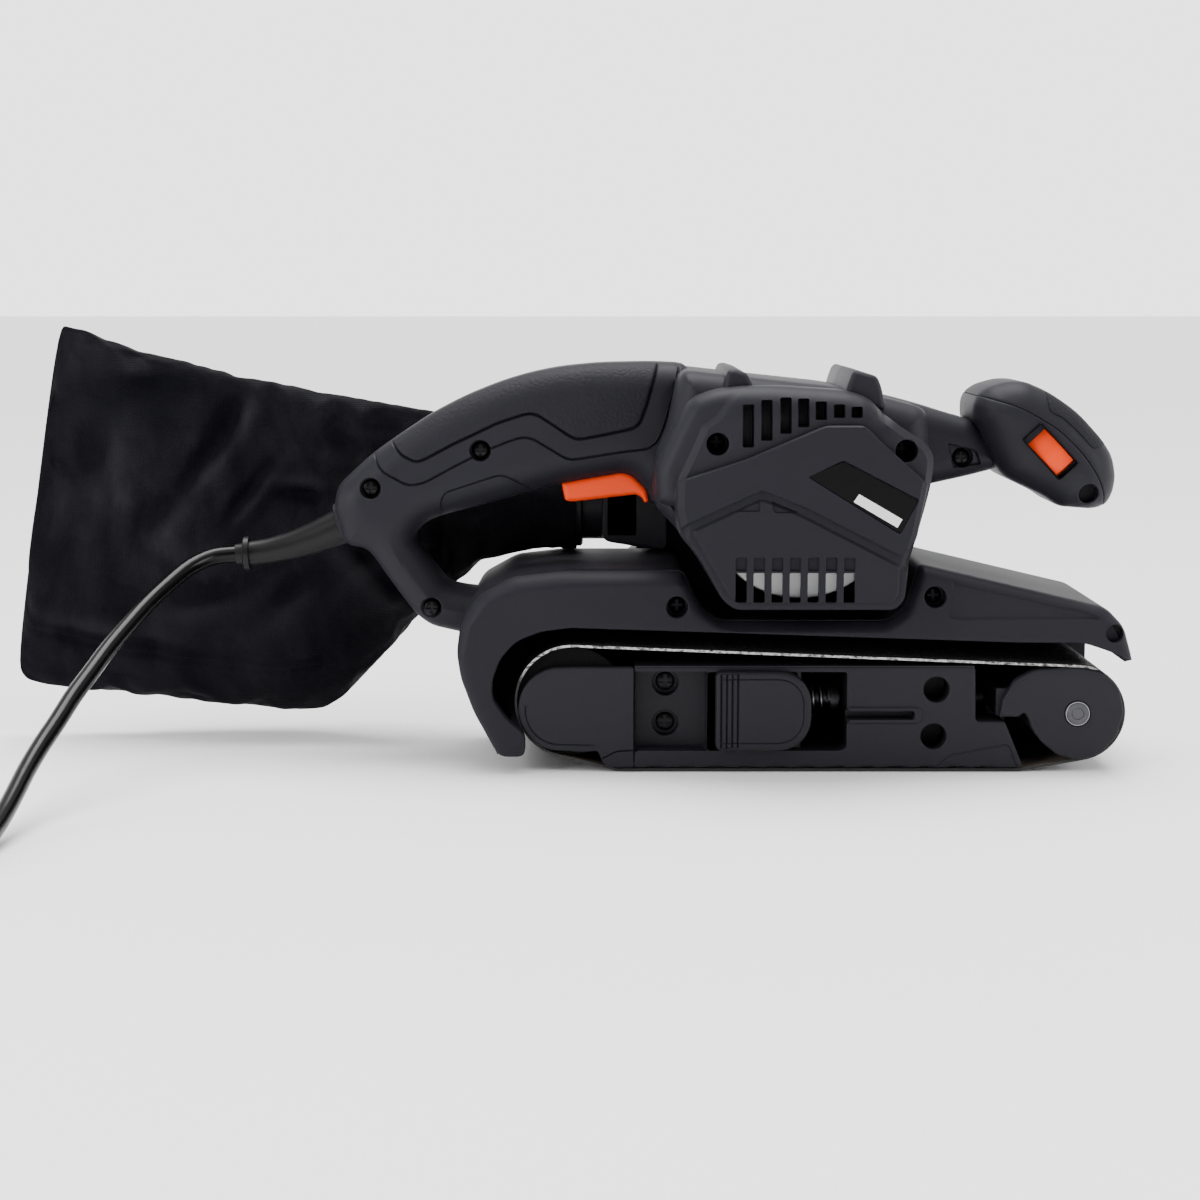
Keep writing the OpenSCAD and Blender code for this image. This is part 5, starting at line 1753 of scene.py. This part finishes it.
PIECES = (
    ("cord", "Cord, coil, plug and boot", build_cord),
    ("rear_handle", "Rear handle and its grips", build_rear_handle),
    ("motor_housing", "Motor housing, front arm and ribs", build_motor_housing),
    ("motor_cover", "Vented motor cover and plate", build_motor_cover),
    ("stator_face", "Stator's front, behind the vents", build_stator_face),
    ("hood", "Hood over the belt", build_hood),
    ("sanding_belt", "Sanding belt", build_sanding_belt),
    ("frame_face", "Side of the base frame and roller cap", build_frame_face),
    ("tension_parts", "Lever, yoke, axle end and spring", build_tension_parts),
    ("front_knob", "Front knob", build_front_knob),
    ("switches", "Trigger and rocker switch", build_switches),
    ("far_side", "Drive cover, case and tracking adjuster", build_far_side),
    ("dust_port", "Dust elbow, outlet and bag collar", build_dust_port),
    ("dust_bag", "Cloth dust bag", build_dust_bag),
    ("screws", "Screw heads", build_screws),
)


def piece_operator(key, label, make):
    def execute(self, context):
        make()
        return {"FINISHED"}

    return type(
        f"SANDER_OT_{key}",
        (bpy.types.Operator,),
        {
            "bl_idname": f"sander.{key}", "bl_label": label, "__doc__": f"Builds: {label.lower()}",
            "execute": execute,
        },
    )


class SANDER_OT_finishes(bpy.types.Operator):
    """Makes every finish and puts it on the CAD nodes that stay in view"""

    bl_idname = "sander.finishes"
    bl_label = "Finishes"

    def execute(self, context):
        FINISHES.update(make_finishes())
        dress_frame_nodes()
        return {"FINISHED"}


class SANDER_OT_stage(bpy.types.Operator):
    """Adds the floor, the lights and the camera"""

    bl_idname = "sander.stage"
    bl_label = "Floor, lights and camera"

    def execute(self, context):
        sizes = context.scene.sander_sizes
        bpy.ops.mesh.primitive_plane_add(size=30, location=(0, 0, -0.0004))
        floor = context.object
        floor.name = "studio_floor"
        floor.data.materials.append(finish("pale_floor", floor_paper, {"Roughness": 0.9}))
        world = bpy.data.worlds.new("studio")
        context.scene.world = world
        world.use_nodes = True
        tree = world.node_tree
        aim = Wire(tree).node("ShaderNodeTexCoord", {}, {}, 0)
        ahead = aim.node("ShaderNodeSeparateXYZ", {}, {0: aim}, 1)
        high = aim.node("ShaderNodeSeparateXYZ", {}, {0: aim}, 2)
        lit = ahead.ramp(-0.5, 0.3).clamp() * 2.5 * (1 - high.ramp(0.14, 0.45).clamp() * 0.7)
        background = tree.nodes["Background"]
        tree.links.new((0.28 + lit).socket, background.inputs["Strength"])
        background.inputs["Color"].default_value = (1, 1, 1, 1)
        for name, place, aim, size, power in (
            ("top_softbox", (-0.1, -0.45, 1.4), (-0.05, 0, 0.08), 1.4, 12),
            ("near_softbox", (-1.5, -0.9, 0.6), (-0.1, 0, 0.08), 0.8, 20),
            ("right_softbox", (1.4, -0.7, 0.6), (0.0, 0, 0.08), 0.7, 12),
        ):
            light = bpy.data.lights.new(name, "AREA")
            light.size = size
            light.energy = power
            lamp = link(name, light)
            lamp.location = place
            lamp.rotation_euler = (Vector(aim) - Vector(place)).to_track_quat("-Z", "Y").to_euler()
        sky = bpy.data.lights.new("ceiling", "SUN")
        sky.energy = 4.3
        sky.angle = 0.7
        link("ceiling", sky).rotation_euler = (math.radians(-14), 0, 0)
        camera = bpy.data.cameras.new("camera")
        camera.lens = 71.25
        camera.sensor_width = 36
        eye = link("camera", camera)
        rise = sizes.camera_rise
        aim = Vector((-0.0867, -0.038, 0.0689))
        eye.location = aim - sizes.camera_distance * Vector((0, math.cos(rise), -math.sin(rise)))
        eye.rotation_euler = (math.pi / 2 - rise, 0, 0)
        context.scene.camera = eye
        return {"FINISHED"}


class SANDER_PT_panel(bpy.types.Panel):
    """Lists the sander's settings and pieces"""

    bl_label = "Belt sander"
    bl_idname = "SANDER_PT_panel"
    bl_space_type = "VIEW_3D"
    bl_region_type = "UI"
    bl_category = "Sander"

    def draw(self, context):
        column = self.layout.column()
        for group in (context.scene.sander_looks, context.scene.sander_sizes):
            for name in group.__annotations__:
                column.prop(group, name)
        for cls in OPERATORS:
            column.operator(cls.bl_idname)


OPERATORS = [SANDER_OT_stage, SANDER_OT_finishes] + [piece_operator(*p) for p in PIECES]
CLASSES = [SanderLooks, SanderSizes, *OPERATORS, SANDER_PT_panel]


def register():
    for cls in CLASSES:
        bpy.utils.register_class(cls)
    bpy.types.Scene.sander_looks = bpy.props.PointerProperty(type=SanderLooks)
    bpy.types.Scene.sander_sizes = bpy.props.PointerProperty(type=SanderSizes)


def unregister():
    del bpy.types.Scene.sander_looks
    del bpy.types.Scene.sander_sizes
    for cls in reversed(CLASSES):
        bpy.utils.unregister_class(cls)


def main():
    register()
    for cls in OPERATORS:
        getattr(bpy.ops.sander, cls.bl_idname.split(".")[1])()


if __name__ == "__main__":
    main()
